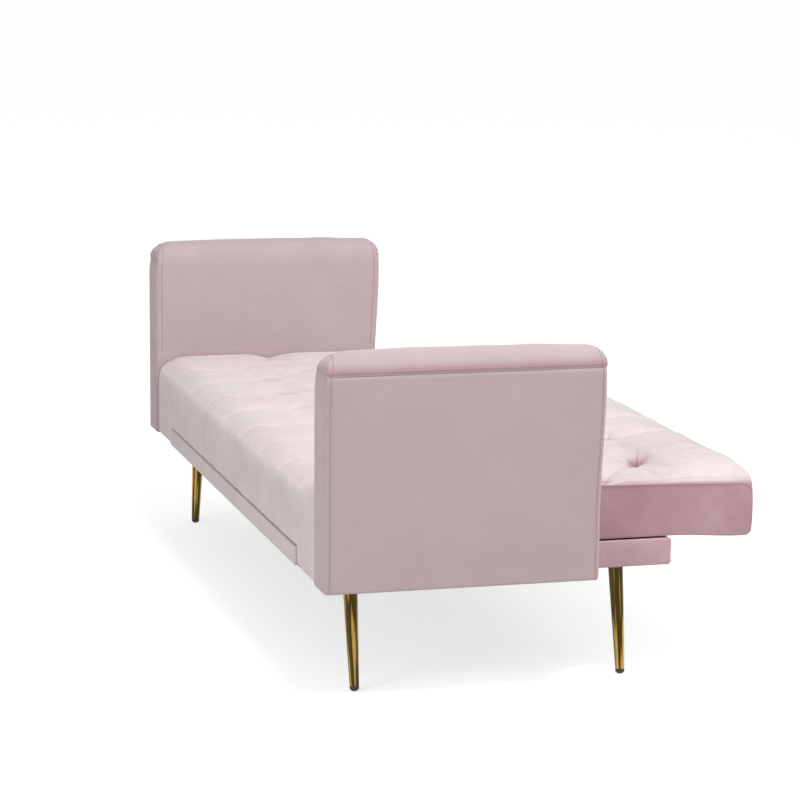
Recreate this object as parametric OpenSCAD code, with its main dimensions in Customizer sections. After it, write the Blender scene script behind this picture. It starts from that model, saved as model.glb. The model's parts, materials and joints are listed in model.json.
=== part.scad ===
// Sofa bed with two fixed slab arms and a back that folds flat on ratchet hinges.
// Shown as a flat bed. Sizes in mm, +X to the right-hand arm, -Y to the front, +Z up.

/* [Overall] */
// Length over both arms
sofa_length = 1830; // [1600:5:2000]
// Depth of the flat bed, arm front to the rear edge of the back
bed_depth = 921; // [880:1:980]
// Height of the arms' crest above the floor
arm_height = 694; // [640:1:760]
// Height of the underside of arms and base above the floor
underside_height = 229; // [190:1:260]
// Height of the seat's crown above the floor
seat_height = 430; // [415:1:450]

/* [Arms] */
// Depth of an arm, front to rear
arm_depth = 560; // [500:1:600]
// Thickness of an arm
arm_thickness = 94; // [80:1:110]
// Radius of an arm's front and rear top corners, seen from its side
arm_corner_radius = 30; // [20:1:45]
// Height of the seam between the flat outer panel and the top roll
arm_seam_height = 656; // [600:1:670]
// Distance of the front and rear seams from the arm's edges
arm_seam_inset = 8; // [5:0.5:14]
// Thickness of the foam wrap on an arm's frame
arm_padding_thickness = 12; // [8:0.5:16]
// Thickness of the arm frame's side boards and bottom board
arm_board_thickness = 9; // [6:0.5:14]
// Thickness of the arm frame's posts
arm_post_thickness = 22; // [18:1:30]

/* [Fabric] */
// Thickness of the velvet with its lining
fabric_thickness = 2; // [1.5:0.1:3]
// Thickness of the velvet and wadding on seat and back walls
cover_wall = 4; // [3:0.5:6]

/* [Base] */
// Depth of the base frame, from the arm front
base_depth = 744; // [700:1:780]
// Height of the base frame
base_height = 54; // [45:1:65]
// Distance of the base frame's front face behind the arm front
base_setback = 8; // [6:0.5:14]
// Thickness of the wooden rails
rail_thickness = 22; // [18:1:28]
// Number of cross slats
slat_count = 5; // [3:1:7]
// Width of a cross slat
slat_width = 60; // [40:1:80]
// Thickness of a cross slat
slat_thickness = 18; // [14:1:22]
// Gap between the end slats and the leg blocks
slat_end_gap = 76; // [20:1:120]

/* [Front band] */
// Length of the lower front strip
band_length = 1310; // [1100:5:1400]
// Height of the lower front strip
band_height = 38; // [30:1:46]
// Distance of its front face behind the arm front
band_setback = 1; // [0.5:0.5:3]
// Gap between the strip and the seat cover round it
band_gap = 1; // [0.5:0.5:2]

/* [Seat] */
// Distance of the seat's front face behind the arm front
seat_setback = 4; // [3:0.5:6]
// Distance from the arm front to the crease between seat and back
crease_depth = 543; // [520:1:556]
// Height of the wooden seat and back rails
frame_rail_height = 58; // [50:1:62]
// Gap between the seat cover and an arm
seat_side_gap = 1; // [0.5:0.5:2]
// Height where the seat's front roll starts
seat_roll_height = 378; // [360:1:390]
// Depth of the seat's front roll
seat_roll_depth = 60; // [40:1:80]
// Height of the seat's edge along an arm
seat_side_height = 412; // [405:1:420]

/* [Back] */
// Height of the back's underside above the base
back_clearance = 2; // [1:0.5:4]
// Thickness of the back, underside to crown
back_thickness = 143; // [136:1:150]
// Gap between the back and an arm
back_side_gap = 5; // [3:0.5:8]
// Height of the end seams above the back's underside
back_seam_rise = 106; // [104:1:110]
// Height above the back's underside where its rear edge starts to round over
back_edge_rise = 90; // [80:1:100]
// Depth of the rounding along the rear edge
back_edge_depth = 36; // [25:1:50]

/* [Tufting] */
// Distance between tufts along a row
tuft_spacing = 186; // [180:1:196]
// Distance between rows of tufts
tuft_row_spacing = 110; // [100:1:112]
// Distance from the seat's front face to its first row
seat_first_row = 170; // [150:1:175]
// Number of rows in the seat
seat_rows = 3; // [2:1:3]
// Distance from the back's rear edge to its last row
back_last_row = 193; // [170:1:200]
// Depth of a tuft below the crown
tuft_depth = 30; // [15:1:32]
// Depth of a pleat below the crown
pleat_depth = 9; // [4:1:14]
// Radius of the hollow round a tuft
tuft_radius = 64; // [40:1:80]
// Width over which a side edge rounds up to the crown
crown_width = 60; // [40:1:80]
// Width over which dips fade out towards the edges
dip_fade_width = 45; // [20:1:60]

/* [Cushion filling] */
// Thickness of the zigzag spring wire
spring_wire = 4; // [3:0.2:4.5]
// Number of loops in a spring
spring_loops = 10; // [8:2:14]
// Half the length of a spring's straight bars
spring_half_bar = 14; // [8:1:20]
// Length of a spring clip
clip_length = 20; // [14:1:24]
// Width of a spring clip
clip_width = 14; // [10:1:18]
// Thickness of the felt over the springs
pad_thickness = 4; // [3:0.5:6]
// Distance of the foam's edges from the frame's outer faces
foam_inset = 12; // [8:1:16]
// Distance from the seat's crown down to its foam
foam_below_crown = 34; // [33:1:38]
// Distance from the back's crown down to its foam
back_foam_below_crown = 40; // [38:1:44]

/* [Ratchet hinge] */
// Height of the hinge pivot above the floor
hinge_height = 400; // [396:1:404]
// Gap from the pivot to the cushion edges on either side
crease_gap = 4; // [3:0.5:6]
// Radius of the cushion edges at the crease
crease_radius = 12; // [8:1:16]
// Drop from the pivot to where those edges start to round over
crease_drop = 2; // [1:0.5:4]
// Width over which the cushion rises from the crease to its crown
crease_slope_width = 80; // [60:1:100]
// Thickness of a hinge plate
hinge_plate_thickness = 3; // [2.5:0.1:4]
// Gap between the moving and the fixed plate
hinge_plate_gap = 0.1; // [0.05:0.05:0.3]
// Radius of a plate's hub
hinge_hub_radius = 10; // [9:0.5:10.5]
// Radius of the pivot rivet
hinge_pin_radius = 5; // [4:0.5:6]
// Radius of the rivet's heads
hinge_head_radius = 8; // [7:0.5:9]
// Thickness of a rivet head
hinge_head_thickness = 2; // [1.5:0.1:2.5]
// Radial running clearance on the rivets
running_clearance = 0.05; // [0.02:0.01:0.08]
// Distance from the pivot to a plate's mounting end, along the sofa's depth
hinge_reach = 62; // [58:1:66]
// Drop from the pivot to the middle of the mounting end
hinge_drop = 83; // [80:1:86]
// Width of a plate's neck
hinge_neck_width = 16; // [13:1:16]
// Length of a plate's mounting end
hinge_foot_length = 85; // [70:1:100]
// Height of a plate's mounting end
hinge_foot_height = 36; // [30:1:42]
// Outer radius of the toothed sector
ratchet_radius = 32; // [30:0.5:33]
// Radius of a ratchet notch
notch_radius = 2.2; // [2.1:0.05:2.4]
// Angle between ratchet notches
notch_angle = 15; // [15:15:15]
// Number of ratchet notches
notch_count = 6; // [6:1:6]
// Distance of the pawl pivot in front of the hinge pivot
pawl_pivot_reach = 23; // [22:0.5:24]
// Drop from the hinge pivot to the pawl pivot
pawl_pivot_drop = 33.5; // [33:0.5:35]
// Radius of the pawl's round end
pawl_hub_radius = 6; // [5:0.5:6.5]
// Radius of the pawl rivet
pawl_pin_radius = 2.5; // [2:0.1:3]
// Radius of the pawl rivet's head
pawl_head_radius = 4.5; // [4:0.1:5]
// Radius of the pawl's nose
nose_radius = 2; // [1.8:0.05:2]
// Gap between nose and ratchet with the pawl held off
nose_gap = 0.8; // [0.6:0.1:1]
// Thickness of the pawl's arm
pawl_arm_thickness = 4; // [3:0.5:4.5]
// Length of the nose above the pawl's arm
nose_length = 4; // [3.5:0.5:5]
// Thickness of the leaf spring
leaf_thickness = 1; // [0.8:0.1:1.4]
// Radius of the stud that carries the leaf spring
leaf_stud_radius = 3; // [2.5:0.1:3.5]
// Distance of that stud in front of the hinge pivot
leaf_stud_reach = 43; // [40:0.5:46]
// Drop from the hinge pivot to that stud
leaf_stud_drop = 50; // [48:0.5:52]
// Gap between the leaf spring and the pawl
leaf_gap = 0.4; // [0.3:0.05:0.6]
// Radius of a hinge screw
screw_radius = 2; // [1.5:0.1:2.5]
// Length of a hinge screw in the wood
screw_length = 17; // [12:1:18]
// Radius of a hinge screw's head
screw_head_radius = 4; // [3.5:0.1:4.5]
// Thickness of a hinge screw's head
screw_head_thickness = 1.8; // [1.5:0.1:2.2]
// Room left in foam and cover beside the hinge plates
hinge_room = 6; // [4:0.5:8]

/* [Legs] */
// Diameter of a leg where it meets its plate
leg_top_diameter = 32; // [24:0.5:36]
// Diameter of a leg at the floor
leg_tip_diameter = 18.5; // [14:0.5:22]
// Distance of a foot from the sofa's end
foot_inset = 119; // [115:1:200]
// Distance of the front feet behind the arm front
front_leg_depth = 91; // [80:1:100]
// Distance of the rear feet behind the arm front
rear_leg_depth = 651; // [630:1:665]
// Outward splay of a leg in degrees
leg_splay = 11; // [6:0.5:13]
// Wall of a leg's tube
leg_wall = 1.5; // [1.2:0.1:2]
// Length of the solid plug in the top of a leg
leg_plug_length = 32; // [26:1:40]
// Height of the black tip
foot_cap_height = 11; // [8:0.5:14]
// Radius of the rounded foot cap
foot_cap_curve = 10.5; // [9.5:0.5:14]
// How much of that curve is cut flat where the cap stands
foot_cap_flat = 1; // [0.5:0.25:2]
// Side of a leg's square top plate
leg_plate_size = 70; // [60:1:80]
// Thickness of that plate
leg_plate_thickness = 3; // [2:0.5:4]
// Size of a leg block along the sofa
leg_block_length = 90; // [80:1:94]
// Size of a leg block across the sofa
leg_block_depth = 100; // [90:1:104]
// Height of a leg block
leg_block_height = 40; // [30:1:42]
// Radius of a leg's threaded stud
stud_radius = 4; // [3:0.5:5]
// Length of the stud on either side of the plate
stud_length = 24; // [18:1:26]
// Gap round studs and bolts in their holes
bolt_clearance = 0.1; // [0.05:0.05:0.2]
// Gap round a leg where it passes the dust cover
leg_hole_gap = 2; // [1:0.5:4]

/* [Arm bolts] */
// Radius of an arm bolt
arm_bolt_radius = 4; // [3:0.5:5]
// Radius of its head
arm_bolt_head_radius = 7; // [6:0.5:8]
// Thickness of its head
arm_bolt_head_thickness = 5; // [4:0.5:6]
// Length of the bolt inside the rail
arm_bolt_grip = 18; // [14:1:20]
// Distance of the bolt pairs behind the arm front
arm_bolt_front = 120; // [100:5:140]
// Distance between the front and rear bolt pair
arm_bolt_spacing = 260; // [220:5:260]

/* [Hidden] */
$fn = 96;
cut = 1;
half_length = sofa_length / 2;
foot_reach = half_length - foot_inset;
arm_inside = half_length - arm_thickness;
arm_middle = half_length - arm_thickness / 2;
arm_frame_inset = fabric_thickness + arm_padding_thickness;
base_side_gap = seat_side_gap / 2;
base_half = arm_inside - base_side_gap;
base_top = underside_height + base_height;
base_inner_half = base_half - fabric_thickness;
base_front = base_setback + fabric_thickness;
base_rear = base_depth - fabric_thickness;
base_rail_low = underside_height + fabric_thickness;
base_rail_top = base_top - fabric_thickness;
seat_half = arm_inside - seat_side_gap;
seat_inner_half = seat_half - cover_wall;
seat_rear = crease_depth - crease_gap;
seat_inner_front = seat_setback + cover_wall;
seat_inner_rear = seat_rear - cover_wall;
seat_rail_top = base_top + frame_rail_height;
foam_top = seat_height - foam_below_crown;
back_bottom = base_top + back_clearance;
back_top = back_bottom + back_thickness;
back_half = arm_inside - back_side_gap;
back_inner_half = back_half - cover_wall;
back_front = crease_depth + crease_gap;
back_rear = bed_depth;
back_inner_front = back_front + cover_wall;
back_inner_rear = back_rear - cover_wall;
back_rail_low = back_bottom + fabric_thickness;
back_rail_top = back_rail_low + frame_rail_height;
back_foam_top = back_top - back_foam_below_crown;
clip_height = spring_wire + fabric_thickness;
hinge_face = seat_inner_half - rail_thickness;
back_rail_thickness = back_inner_half - hinge_face + hinge_plate_thickness;
seat_plate_low = hinge_face - hinge_plate_thickness + hinge_plate_gap;
back_plate_top = hinge_face - hinge_plate_thickness;
back_plate_low = back_plate_top - hinge_plate_thickness;
slot_low = back_plate_low - hinge_room;
slot_top = hinge_face + hinge_room;
hub_room_radius = hinge_hub_radius + cut;
leg_axis_shift = tan(leg_splay);
leg_slope = cos(leg_splay);
leg_root = base_rail_low;
half_tuft = tuft_spacing / 2;
tuft_limit = floor((seat_half - crown_width) / half_tuft);
seat_first_y = seat_setback + seat_first_row;
back_row_y = back_rear - back_last_row;
edge_line_shares = [0.12, 0];
roll_line_shares = [0.07, 0.16, 0.4, 1];
crease_line_shares = [1, 0.62, 0.36, 0.14, 0.04, 0];
rear_line_shares = [0.02, 0.1, 0.25, 0.55, 1];
crease_line_span = 50;
rear_line_span = 58;
seat_notch = crease_depth - ratchet_radius;
back_notch = crease_depth + 2 * hinge_hub_radius;

// Moves what is drawn from the arm front to the middle of the bed.
module placed() {
    translate([0, -bed_depth / 2, 0])
        children();
}

module left_side() {
    mirror([1, 0, 0])
        children();
}

module both_sides() {
    children();
    mirror([1, 0, 0])
        children();
}

module block(x, y, z) {
    translate([x[0], y[0], z[0]])
        cube([x[1] - x[0], y[1] - y[0], z[1] - z[0]]);
}

// Turns a flat outline of depth and height into a plate between two lengths.
module plate(low, high) {
    translate([low, 0, 0])
        rotate([90, 0, 90])
            linear_extrude(high - low)
                children();
}

module rod(radius, low, high, y, z) {
    translate([low, y, z])
        rotate([0, 90, 0])
            cylinder(h = high - low, r = radius);
}

// Arms

module arm_section(inset, floor_gap) {
    side = arm_thickness / 2 - inset;
    center = arm_height - arm_thickness / 2;
    translate([arm_middle, center])
        circle(side);
    translate([arm_middle - side, underside_height + floor_gap])
        square([2 * side, center - underside_height - floor_gap]);
}

module arm_outline(inset, floor_gap) {
    radius = arm_corner_radius - inset;
    low = underside_height + floor_gap;
    top = arm_height - inset;
    translate([inset, low])
        square([arm_depth - 2 * inset, top - radius - low]);
    translate([inset + radius, low])
        square([arm_depth - 2 * inset - 2 * radius, top - low]);
    for (y = [inset + radius, arm_depth - inset - radius])
        translate([y, top - radius])
            circle(radius);
}

module arm_form(inset, floor_gap) {
    intersection() {
        translate([0, arm_depth, 0])
            rotate([90, 0, 0])
                linear_extrude(arm_depth)
                    arm_section(inset, floor_gap);
        plate(arm_inside, half_length)
            arm_outline(inset, floor_gap);
    }
}

module arm_skin() {
    difference() {
        arm_form(0, 0);
        arm_form(fabric_thickness, fabric_thickness);
        arm_bolt_holes();
    }
}

module arm_bolt_places() {
    for (y = [arm_bolt_front, arm_bolt_front + arm_bolt_spacing])
        for (z = [underside_height + base_height / 2, base_top + frame_rail_height / 2])
            translate([0, y, z])
                children();
}

module arm_bolt_holes() {
    arm_bolt_places()
        rod(arm_bolt_radius + bolt_clearance, hinge_face, arm_middle, 0, 0);
}

module arm_bolt() {
    head_face = arm_inside + arm_frame_inset + arm_board_thickness;
    rail_face = seat_inner_half;
    rod(arm_bolt_radius, rail_face - arm_bolt_grip, head_face + cut, 0, 0);
    rod(arm_bolt_head_radius, head_face, head_face + arm_bolt_head_thickness, 0, 0);
}

module arm_frame() {
    inner_low = arm_inside + arm_frame_inset;
    inner_top = half_length - arm_frame_inset;
    post = arm_frame_inset + arm_post_thickness;
    hollow_low = base_rail_low + arm_board_thickness;
    hollow_top = arm_height - arm_thickness / 2 - arm_board_thickness / 2;
    difference() {
        arm_form(arm_frame_inset, fabric_thickness);
        block([inner_low + arm_board_thickness, inner_top - arm_board_thickness],
            [post, arm_depth - post], [hollow_low, hollow_top]);
        arm_bolt_holes();
    }
}

module arm_padding() {
    difference() {
        arm_form(fabric_thickness, fabric_thickness);
        arm_form(arm_frame_inset, fabric_thickness);
        arm_bolt_holes();
    }
}

module arm_panel_zone(low, high) {
    block([low, high], [arm_seam_inset, arm_depth - arm_seam_inset],
        [underside_height - cut, arm_seam_height]);
}

module arm_outer_panel() {
    intersection() {
        arm_skin();
        arm_panel_zone(arm_middle, half_length + cut);
    }
}

module arm_inner_panel() {
    intersection() {
        arm_skin();
        union() {
            arm_panel_zone(arm_inside - cut, arm_middle);
            block([arm_inside - cut, half_length + cut], [-cut, arm_depth + cut],
                [arm_seam_height, arm_height + cut]);
        }
    }
}

module arm_boxing() {
    color("lightpink")
        placed()
            both_sides()
                intersection() {
                    arm_skin();
                    for (y = [[-cut, arm_seam_inset], [arm_depth - arm_seam_inset, arm_depth + cut]])
                        block([arm_inside - cut, half_length + cut], y,
                            [underside_height - cut, arm_seam_height]);
                }
}

module left_arm_frame() { color("burlywood") placed() left_side() arm_frame(); }
module right_arm_frame() { color("burlywood") placed() arm_frame(); }
module left_arm_padding() { color("lightyellow") placed() left_side() arm_padding(); }
module right_arm_padding() { color("lightyellow") placed() arm_padding(); }
module left_arm_outer_panel() { color("pink") placed() left_side() arm_outer_panel(); }
module right_arm_outer_panel() { color("pink") placed() arm_outer_panel(); }
module left_arm_inner_panel() { color("mistyrose") placed() left_side() arm_inner_panel(); }
module right_arm_inner_panel() { color("mistyrose") placed() arm_inner_panel(); }

module arm_bolts() {
    color("silver")
        placed()
            both_sides()
                arm_bolt_places()
                    arm_bolt();
}

// Base frame

module base_side_rail() {
    difference() {
        block([base_inner_half - rail_thickness, base_inner_half], [base_front, base_rear],
            [base_rail_low, base_rail_top]);
        arm_bolt_holes();
    }
}

module base_cross_rail(front) {
    block([rail_thickness - base_inner_half, base_inner_half - rail_thickness],
        [front, front + rail_thickness], [base_rail_low, base_rail_top]);
}

module base_front_rail() { color("burlywood") placed() base_cross_rail(base_front); }
module base_rear_rail() { color("burlywood") placed() base_cross_rail(base_rear - rail_thickness); }
module base_left_rail() { color("tan") placed() left_side() base_side_rail(); }
module base_right_rail() { color("tan") placed() base_side_rail(); }

module base_slats() {
    last = base_inner_half - rail_thickness - leg_block_length - slat_end_gap - slat_width / 2;
    color("wheat")
        placed()
            for (i = [0 : slat_count - 1]) {
                x = (2 * i / (slat_count - 1) - 1) * last;
                block([x - slat_width / 2, x + slat_width / 2],
                    [base_front + rail_thickness, base_rear - rail_thickness],
                    [base_rail_top - slat_thickness, base_rail_top]);
            }
}

module base_cover() {
    color("pink")
        placed()
            difference() {
                block([-base_half, base_half], [base_setback, base_depth], [underside_height, base_top]);
                block([-base_inner_half, base_inner_half], [base_front, base_rear],
                    [underside_height - cut, base_rail_top]);
                block([rail_thickness - base_inner_half, base_inner_half - rail_thickness],
                    [base_front + rail_thickness, base_rear - rail_thickness],
                    [underside_height, base_top + cut]);
                both_sides()
                    arm_bolt_holes();
            }
}

module base_dust_cover() {
    color("dimgray")
        placed()
            difference() {
                block([-base_inner_half, base_inner_half], [base_front, base_rear],
                    [underside_height, base_rail_low]);
                leg_places()
                    leg_cone(leg_tip_diameter / 2 + leg_hole_gap, leg_top_diameter / 2 + leg_hole_gap);
            }
}

module front_band() {
    color("burlywood")
        placed()
            block([fabric_thickness - band_length / 2, band_length / 2 - fabric_thickness],
                [band_setback + fabric_thickness, base_setback],
                [base_rail_low, underside_height + band_height - fabric_thickness]);
}

module front_band_cover() {
    color("pink")
        placed()
            difference() {
                block([-band_length / 2, band_length / 2], [band_setback, base_setback],
                    [underside_height, underside_height + band_height]);
                block([fabric_thickness - band_length / 2, band_length / 2 - fabric_thickness],
                    [band_setback + fabric_thickness, base_setback + cut],
                    [base_rail_low, underside_height + band_height - fabric_thickness]);
            }
}

// Legs

// A cone on the leg's slanted axis, drawn past both of its ends.
module leg_cone(tip_radius, top_radius) {
    length = leg_root / leg_slope;
    growth = (top_radius - tip_radius) / length;
    extra = foot_cap_height + leg_top_diameter / 2;
    translate([foot_reach, 0, 0])
        rotate([0, -leg_splay, 0])
            translate([0, 0, -extra])
                cylinder(h = length + 2 * extra, r1 = tip_radius - extra * growth,
                    r2 = top_radius + extra * growth);
}

module leg_slice(low, high) {
    block([foot_reach - leg_block_depth, foot_reach + leg_block_depth],
        [-leg_block_depth, leg_block_depth], [low, high]);
}

module front_right_place() {
    translate([0, front_leg_depth, 0])
        children();
}

module rear_right_place() {
    translate([0, rear_leg_depth, 0])
        children();
}

module leg_places() {
    both_sides() {
        front_right_place()
            children();
        rear_right_place()
            children();
    }
}

// A rod on the leg's slanted axis, reaching either way from the underside of the top plate.
module leg_axis_rod(radius, below, above) {
    translate([foot_reach - leg_root * leg_axis_shift, 0, leg_root])
        rotate([0, -leg_splay, 0])
            translate([0, 0, -below])
                cylinder(h = below + above, r = radius);
}

module leg() {
    difference() {
        intersection() {
            leg_cone(leg_tip_diameter / 2, leg_top_diameter / 2);
            leg_slice(foot_cap_height, leg_root);
        }
        intersection() {
            leg_cone(leg_tip_diameter / 2 - leg_wall, leg_top_diameter / 2 - leg_wall);
            leg_slice(foot_cap_height - cut, leg_root - leg_plug_length);
        }
        leg_axis_rod(stud_radius + bolt_clearance, stud_length + bolt_clearance, stud_length);
    }
}

module front_left_leg() { color("goldenrod") placed() left_side() front_right_place() leg(); }
module front_right_leg() { color("goldenrod") placed() front_right_place() leg(); }
module rear_left_leg() { color("goldenrod") placed() left_side() rear_right_place() leg(); }
module rear_right_leg() { color("goldenrod") placed() rear_right_place() leg(); }

module foot_cap_dome() {
    middle = foot_cap_curve - foot_cap_flat;
    translate([foot_reach - middle * leg_axis_shift, 0, middle])
        sphere(r = foot_cap_curve);
    leg_slice(middle, foot_cap_height + cut);
}

module foot_caps() {
    color("black")
        placed()
            leg_places()
                intersection() {
                    leg_cone(leg_tip_diameter / 2, leg_top_diameter / 2);
                    leg_slice(0, foot_cap_height);
                    foot_cap_dome();
                }
}

module leg_studs() {
    color("silver")
        placed()
            leg_places()
                leg_axis_rod(stud_radius, stud_length, stud_length + leg_plate_thickness);
}

module leg_plates() {
    plate_middle = foot_reach - leg_root * leg_axis_shift;
    color("gray")
        placed()
            leg_places()
                difference() {
                    block([plate_middle - leg_plate_size / 2, plate_middle + leg_plate_size / 2],
                        [-leg_plate_size / 2, leg_plate_size / 2],
                        [leg_root, leg_root + leg_plate_thickness]);
                    leg_axis_rod(stud_radius + bolt_clearance, stud_length, stud_length);
                }
}

module leg_block(front) {
    outside = base_inner_half - rail_thickness;
    low = leg_root + leg_plate_thickness;
    block([outside - leg_block_length, outside], [front, front + leg_block_depth],
        [low, low + leg_block_height]);
}

module leg_blocks() {
    color("peru")
        placed()
            difference() {
                both_sides() {
                    leg_block(base_front + rail_thickness);
                    leg_block(base_rear - rail_thickness - leg_block_depth);
                }
                leg_places()
                    leg_axis_rod(stud_radius + bolt_clearance, stud_length,
                        stud_length + leg_plate_thickness + bolt_clearance);
            }
}

// Tufted surfaces. Places are counted in half tuft spacings along a row and in rows across.

function wrap(a, b) = a - b * floor(a / b);
function clamp(a, low, high) = min(high, max(low, a));
function rise(d, width) = d >= width ? 1 : sqrt(max(0, 1 - pow(1 - d / width, 2)));
function ease(d, width) = let (t = clamp(d / width, 0, 1)) t * t * (3 - 2 * t);
function pleat_reach(u, v) = min(abs(wrap(u + v, 2) - 1), abs(wrap(u - v, 2) - 1));
function row_limit(odd) = tuft_limit - wrap(tuft_limit + odd, 2);
function row_place(u, odd) = clamp(2 * round((u - odd) / 2) + odd, -row_limit(odd), row_limit(odd));
function tuft_reach(x, y, row_y, row) =
    let (odd = wrap(row + 1, 2)) norm([x - half_tuft * row_place(x / half_tuft, odd), y - row_y]);
function tuft_dip(x, y, first_y, low, high) =
    let (u = clamp(x / half_tuft, -tuft_limit, tuft_limit))
    let (v = clamp((y - first_y) / tuft_row_spacing, low, high))
    let (pleat_share = max(0, 1 - 2 * pleat_reach(u, v)))
    let (reach = min([for (row = [low : high]) tuft_reach(x, y, first_y + row * tuft_row_spacing, row)]))
    let (tuft_share = max(0, 1 - reach / tuft_radius))
    pleat_depth * pow(pleat_share, 2) + (tuft_depth - pleat_depth) * pow(tuft_share, 2);

function crease_top(d, crown) =
    let (start = hinge_height - crease_drop)
    start + crease_radius * rise(d, crease_radius)
        + (crown - start - crease_radius) * ease(d, crease_slope_width);
function seat_top(x, y) =
    let (front = y - seat_setback, side = seat_half - abs(x), rear = seat_rear - y)
    min(seat_roll_height + (seat_height - seat_roll_height) * rise(front, seat_roll_depth),
        seat_side_height + (seat_height - seat_side_height) * rise(side, crown_width),
        crease_top(rear, seat_height))
        - tuft_dip(x, y, seat_first_y, 0, seat_rows - 1) * ease(min(front, side, rear), dip_fade_width);
function back_surface(x, y) =
    let (front = y - back_front, side = back_half - abs(x), rear = back_rear - y)
    let (seam = back_bottom + back_seam_rise, edge = back_bottom + back_edge_rise)
    min(seam + (back_top - seam) * rise(side, crown_width),
        edge + (back_top - edge) * rise(rear, back_edge_depth),
        crease_top(front, back_top))
        - tuft_dip(x, y, back_row_y, -1, 0) * ease(min(front, side, rear), dip_fade_width);

// Lines on which a surface has its points. They pass through the tufts and the hinge notches.
function half_lines(half) = concat([for (i = [1 : 2 * tuft_limit]) i * half_tuft / 2],
    [slot_low, slot_top],
    [for (share = edge_line_shares) half - share * (half - slot_top)]);
function length_lines(half) = let (lines = half_lines(half))
    concat([for (i = [len(lines) - 1 : -1 : 0]) -lines[i]], [0], lines);
seat_depth_lines = concat([for (share = roll_line_shares) seat_setback + share * seat_roll_depth],
    [for (i = [-3 : 4 * seat_rows - 2]) let (y = seat_first_y + i * tuft_row_spacing / 4)
        if (y > seat_setback + seat_roll_depth && y < seat_rear - crease_line_span) y],
    [for (share = crease_line_shares) seat_rear - share * crease_line_span]);
back_depth_lines = concat([for (share = rear_line_shares) back_rear - share * rear_line_span],
    [for (i = [4 : -1 : -5]) let (y = back_row_y + i * tuft_row_spacing / 4)
        if (y < back_rear - rear_line_span
            && y > back_front + crease_line_shares[1] * crease_line_span + cut) y],
    [for (i = [1 : len(crease_line_shares) - 1])
        back_front + crease_line_shares[i] * crease_line_span]);

// A solid with a surface of points above a flat floor, from rows of equally many points.
// The cells between the hinge's lines are left out from notch_row to the last row.
module tufted_block(top, columns, floor_z, notch_row) {
    rows = len(top) / columns;
    last = columns - 1;
    slot = len(edge_line_shares);
    slots = [slot, last - slot - 1];
    walls_at = [slots[0], slots[0] + 1, slots[1], slots[1] + 1];
    first = len(top);
    function notch(i) = i == slots[0] || i == slots[1];
    function at(i, j) = j * columns + i;
    function up(i, from, to) = [for (j = [from : to]) at(i, j)];
    function down(i, from, to) = [for (j = [from : -1 : to]) at(i, j)];
    function rear_edge(from, to) = [for (i = [from : -1 : to]) at(i, rows - 1)];
    // Rows at which line i has a point in the floor of the strip between lines s and s + 1
    function floor_rows(i, s) = i == 0 || i == last ? [for (j = [0 : rows - 1]) j]
        : notch(s) ? [0, notch_row]
        : len(search(i, walls_at)) > 0 ? concat([0], [for (j = [notch_row : rows - 1]) j])
        : [0, rows - 1];
    edge = concat([for (i = [0 : last - 1]) at(i, 0)],
        up(last, 0, rows - 1),
        rear_edge(last - 1, slots[1] + 1), down(slots[1] + 1, rows - 2, notch_row),
        up(slots[1], notch_row, rows - 1),
        rear_edge(slots[1] - 1, slots[0] + 1), down(slots[0] + 1, rows - 2, notch_row),
        up(slots[0], notch_row, rows - 1),
        rear_edge(slots[0] - 1, 0), down(0, rows - 2, 1));
    cells = [for (j = [0 : rows - 2], i = [0 : last - 1])
        if (!(notch(i) && j >= notch_row)) at(i, j)];
    lower = [for (a = cells) [a, a + columns, a + columns + 1]];
    upper = [for (a = cells) [a, a + columns + 1, a + 1]];
    walls = [for (k = [0 : len(edge) - 1])
        let (next = edge[(k + 1) % len(edge)]) [edge[k], next, first + next, first + edge[k]]];
    floor_right = [for (s = [0 : last - 1]) let (left = floor_rows(s, s), right = floor_rows(s + 1, s))
        for (k = [0 : len(right) - 2])
            [first + at(s, 0), first + at(s + 1, right[k]), first + at(s + 1, right[k + 1])]];
    floor_left = [for (s = [0 : last - 1]) let (left = floor_rows(s, s), right = floor_rows(s + 1, s))
        for (k = [0 : len(left) - 2])
            [first + at(s + 1, right[len(right) - 1]), first + at(s, left[k + 1]),
                first + at(s, left[k])]];
    polyhedron(concat(top, [for (p = top) [p[0], p[1], floor_z]]),
        concat(lower, upper, walls, floor_right, floor_left));
}

function row_at(lines, y) = max([for (i = [0 : len(lines) - 1]) if (lines[i] <= y) i]);

// Room for the hinge plates in the soft parts on either side of the crease.
module hub_room() {
    rod(hub_room_radius, slot_low, slot_top, crease_depth, hinge_height);
}

module seat_hinge_room() {
    block([slot_low, slot_top], [crease_depth - hinge_reach - hinge_neck_width, crease_depth],
        [seat_rail_top, foam_top]);
    hub_room();
}

module back_hinge_room() {
    block([slot_low, slot_top], [crease_depth, crease_depth + hinge_reach + hinge_neck_width],
        [back_rail_top, foam_top]);
    hub_room();
}

// Seat

module side_rail(half, thickness, front, rear, low, top) {
    block([half - thickness, half], [front, rear], [low, top]);
}

module seat_side_rail() {
    difference() {
        side_rail(seat_inner_half, rail_thickness, seat_inner_front, seat_inner_rear, base_top,
            seat_rail_top);
        arm_bolt_holes();
        at_hinge()
            screw_places(-1)
                screw_hole(seat_plate_low);
    }
}

module seat_cross_rail(front) {
    block([-hinge_face, hinge_face], [front, front + rail_thickness], [base_top, seat_rail_top]);
}

module seat_front_rail() { color("burlywood") placed() seat_cross_rail(seat_inner_front); }
module seat_rear_rail() { color("burlywood") placed() seat_cross_rail(seat_inner_rear - rail_thickness); }
module seat_left_rail() { color("tan") placed() left_side() seat_side_rail(); }
module seat_right_rail() { color("tan") placed() seat_side_rail(); }

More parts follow.
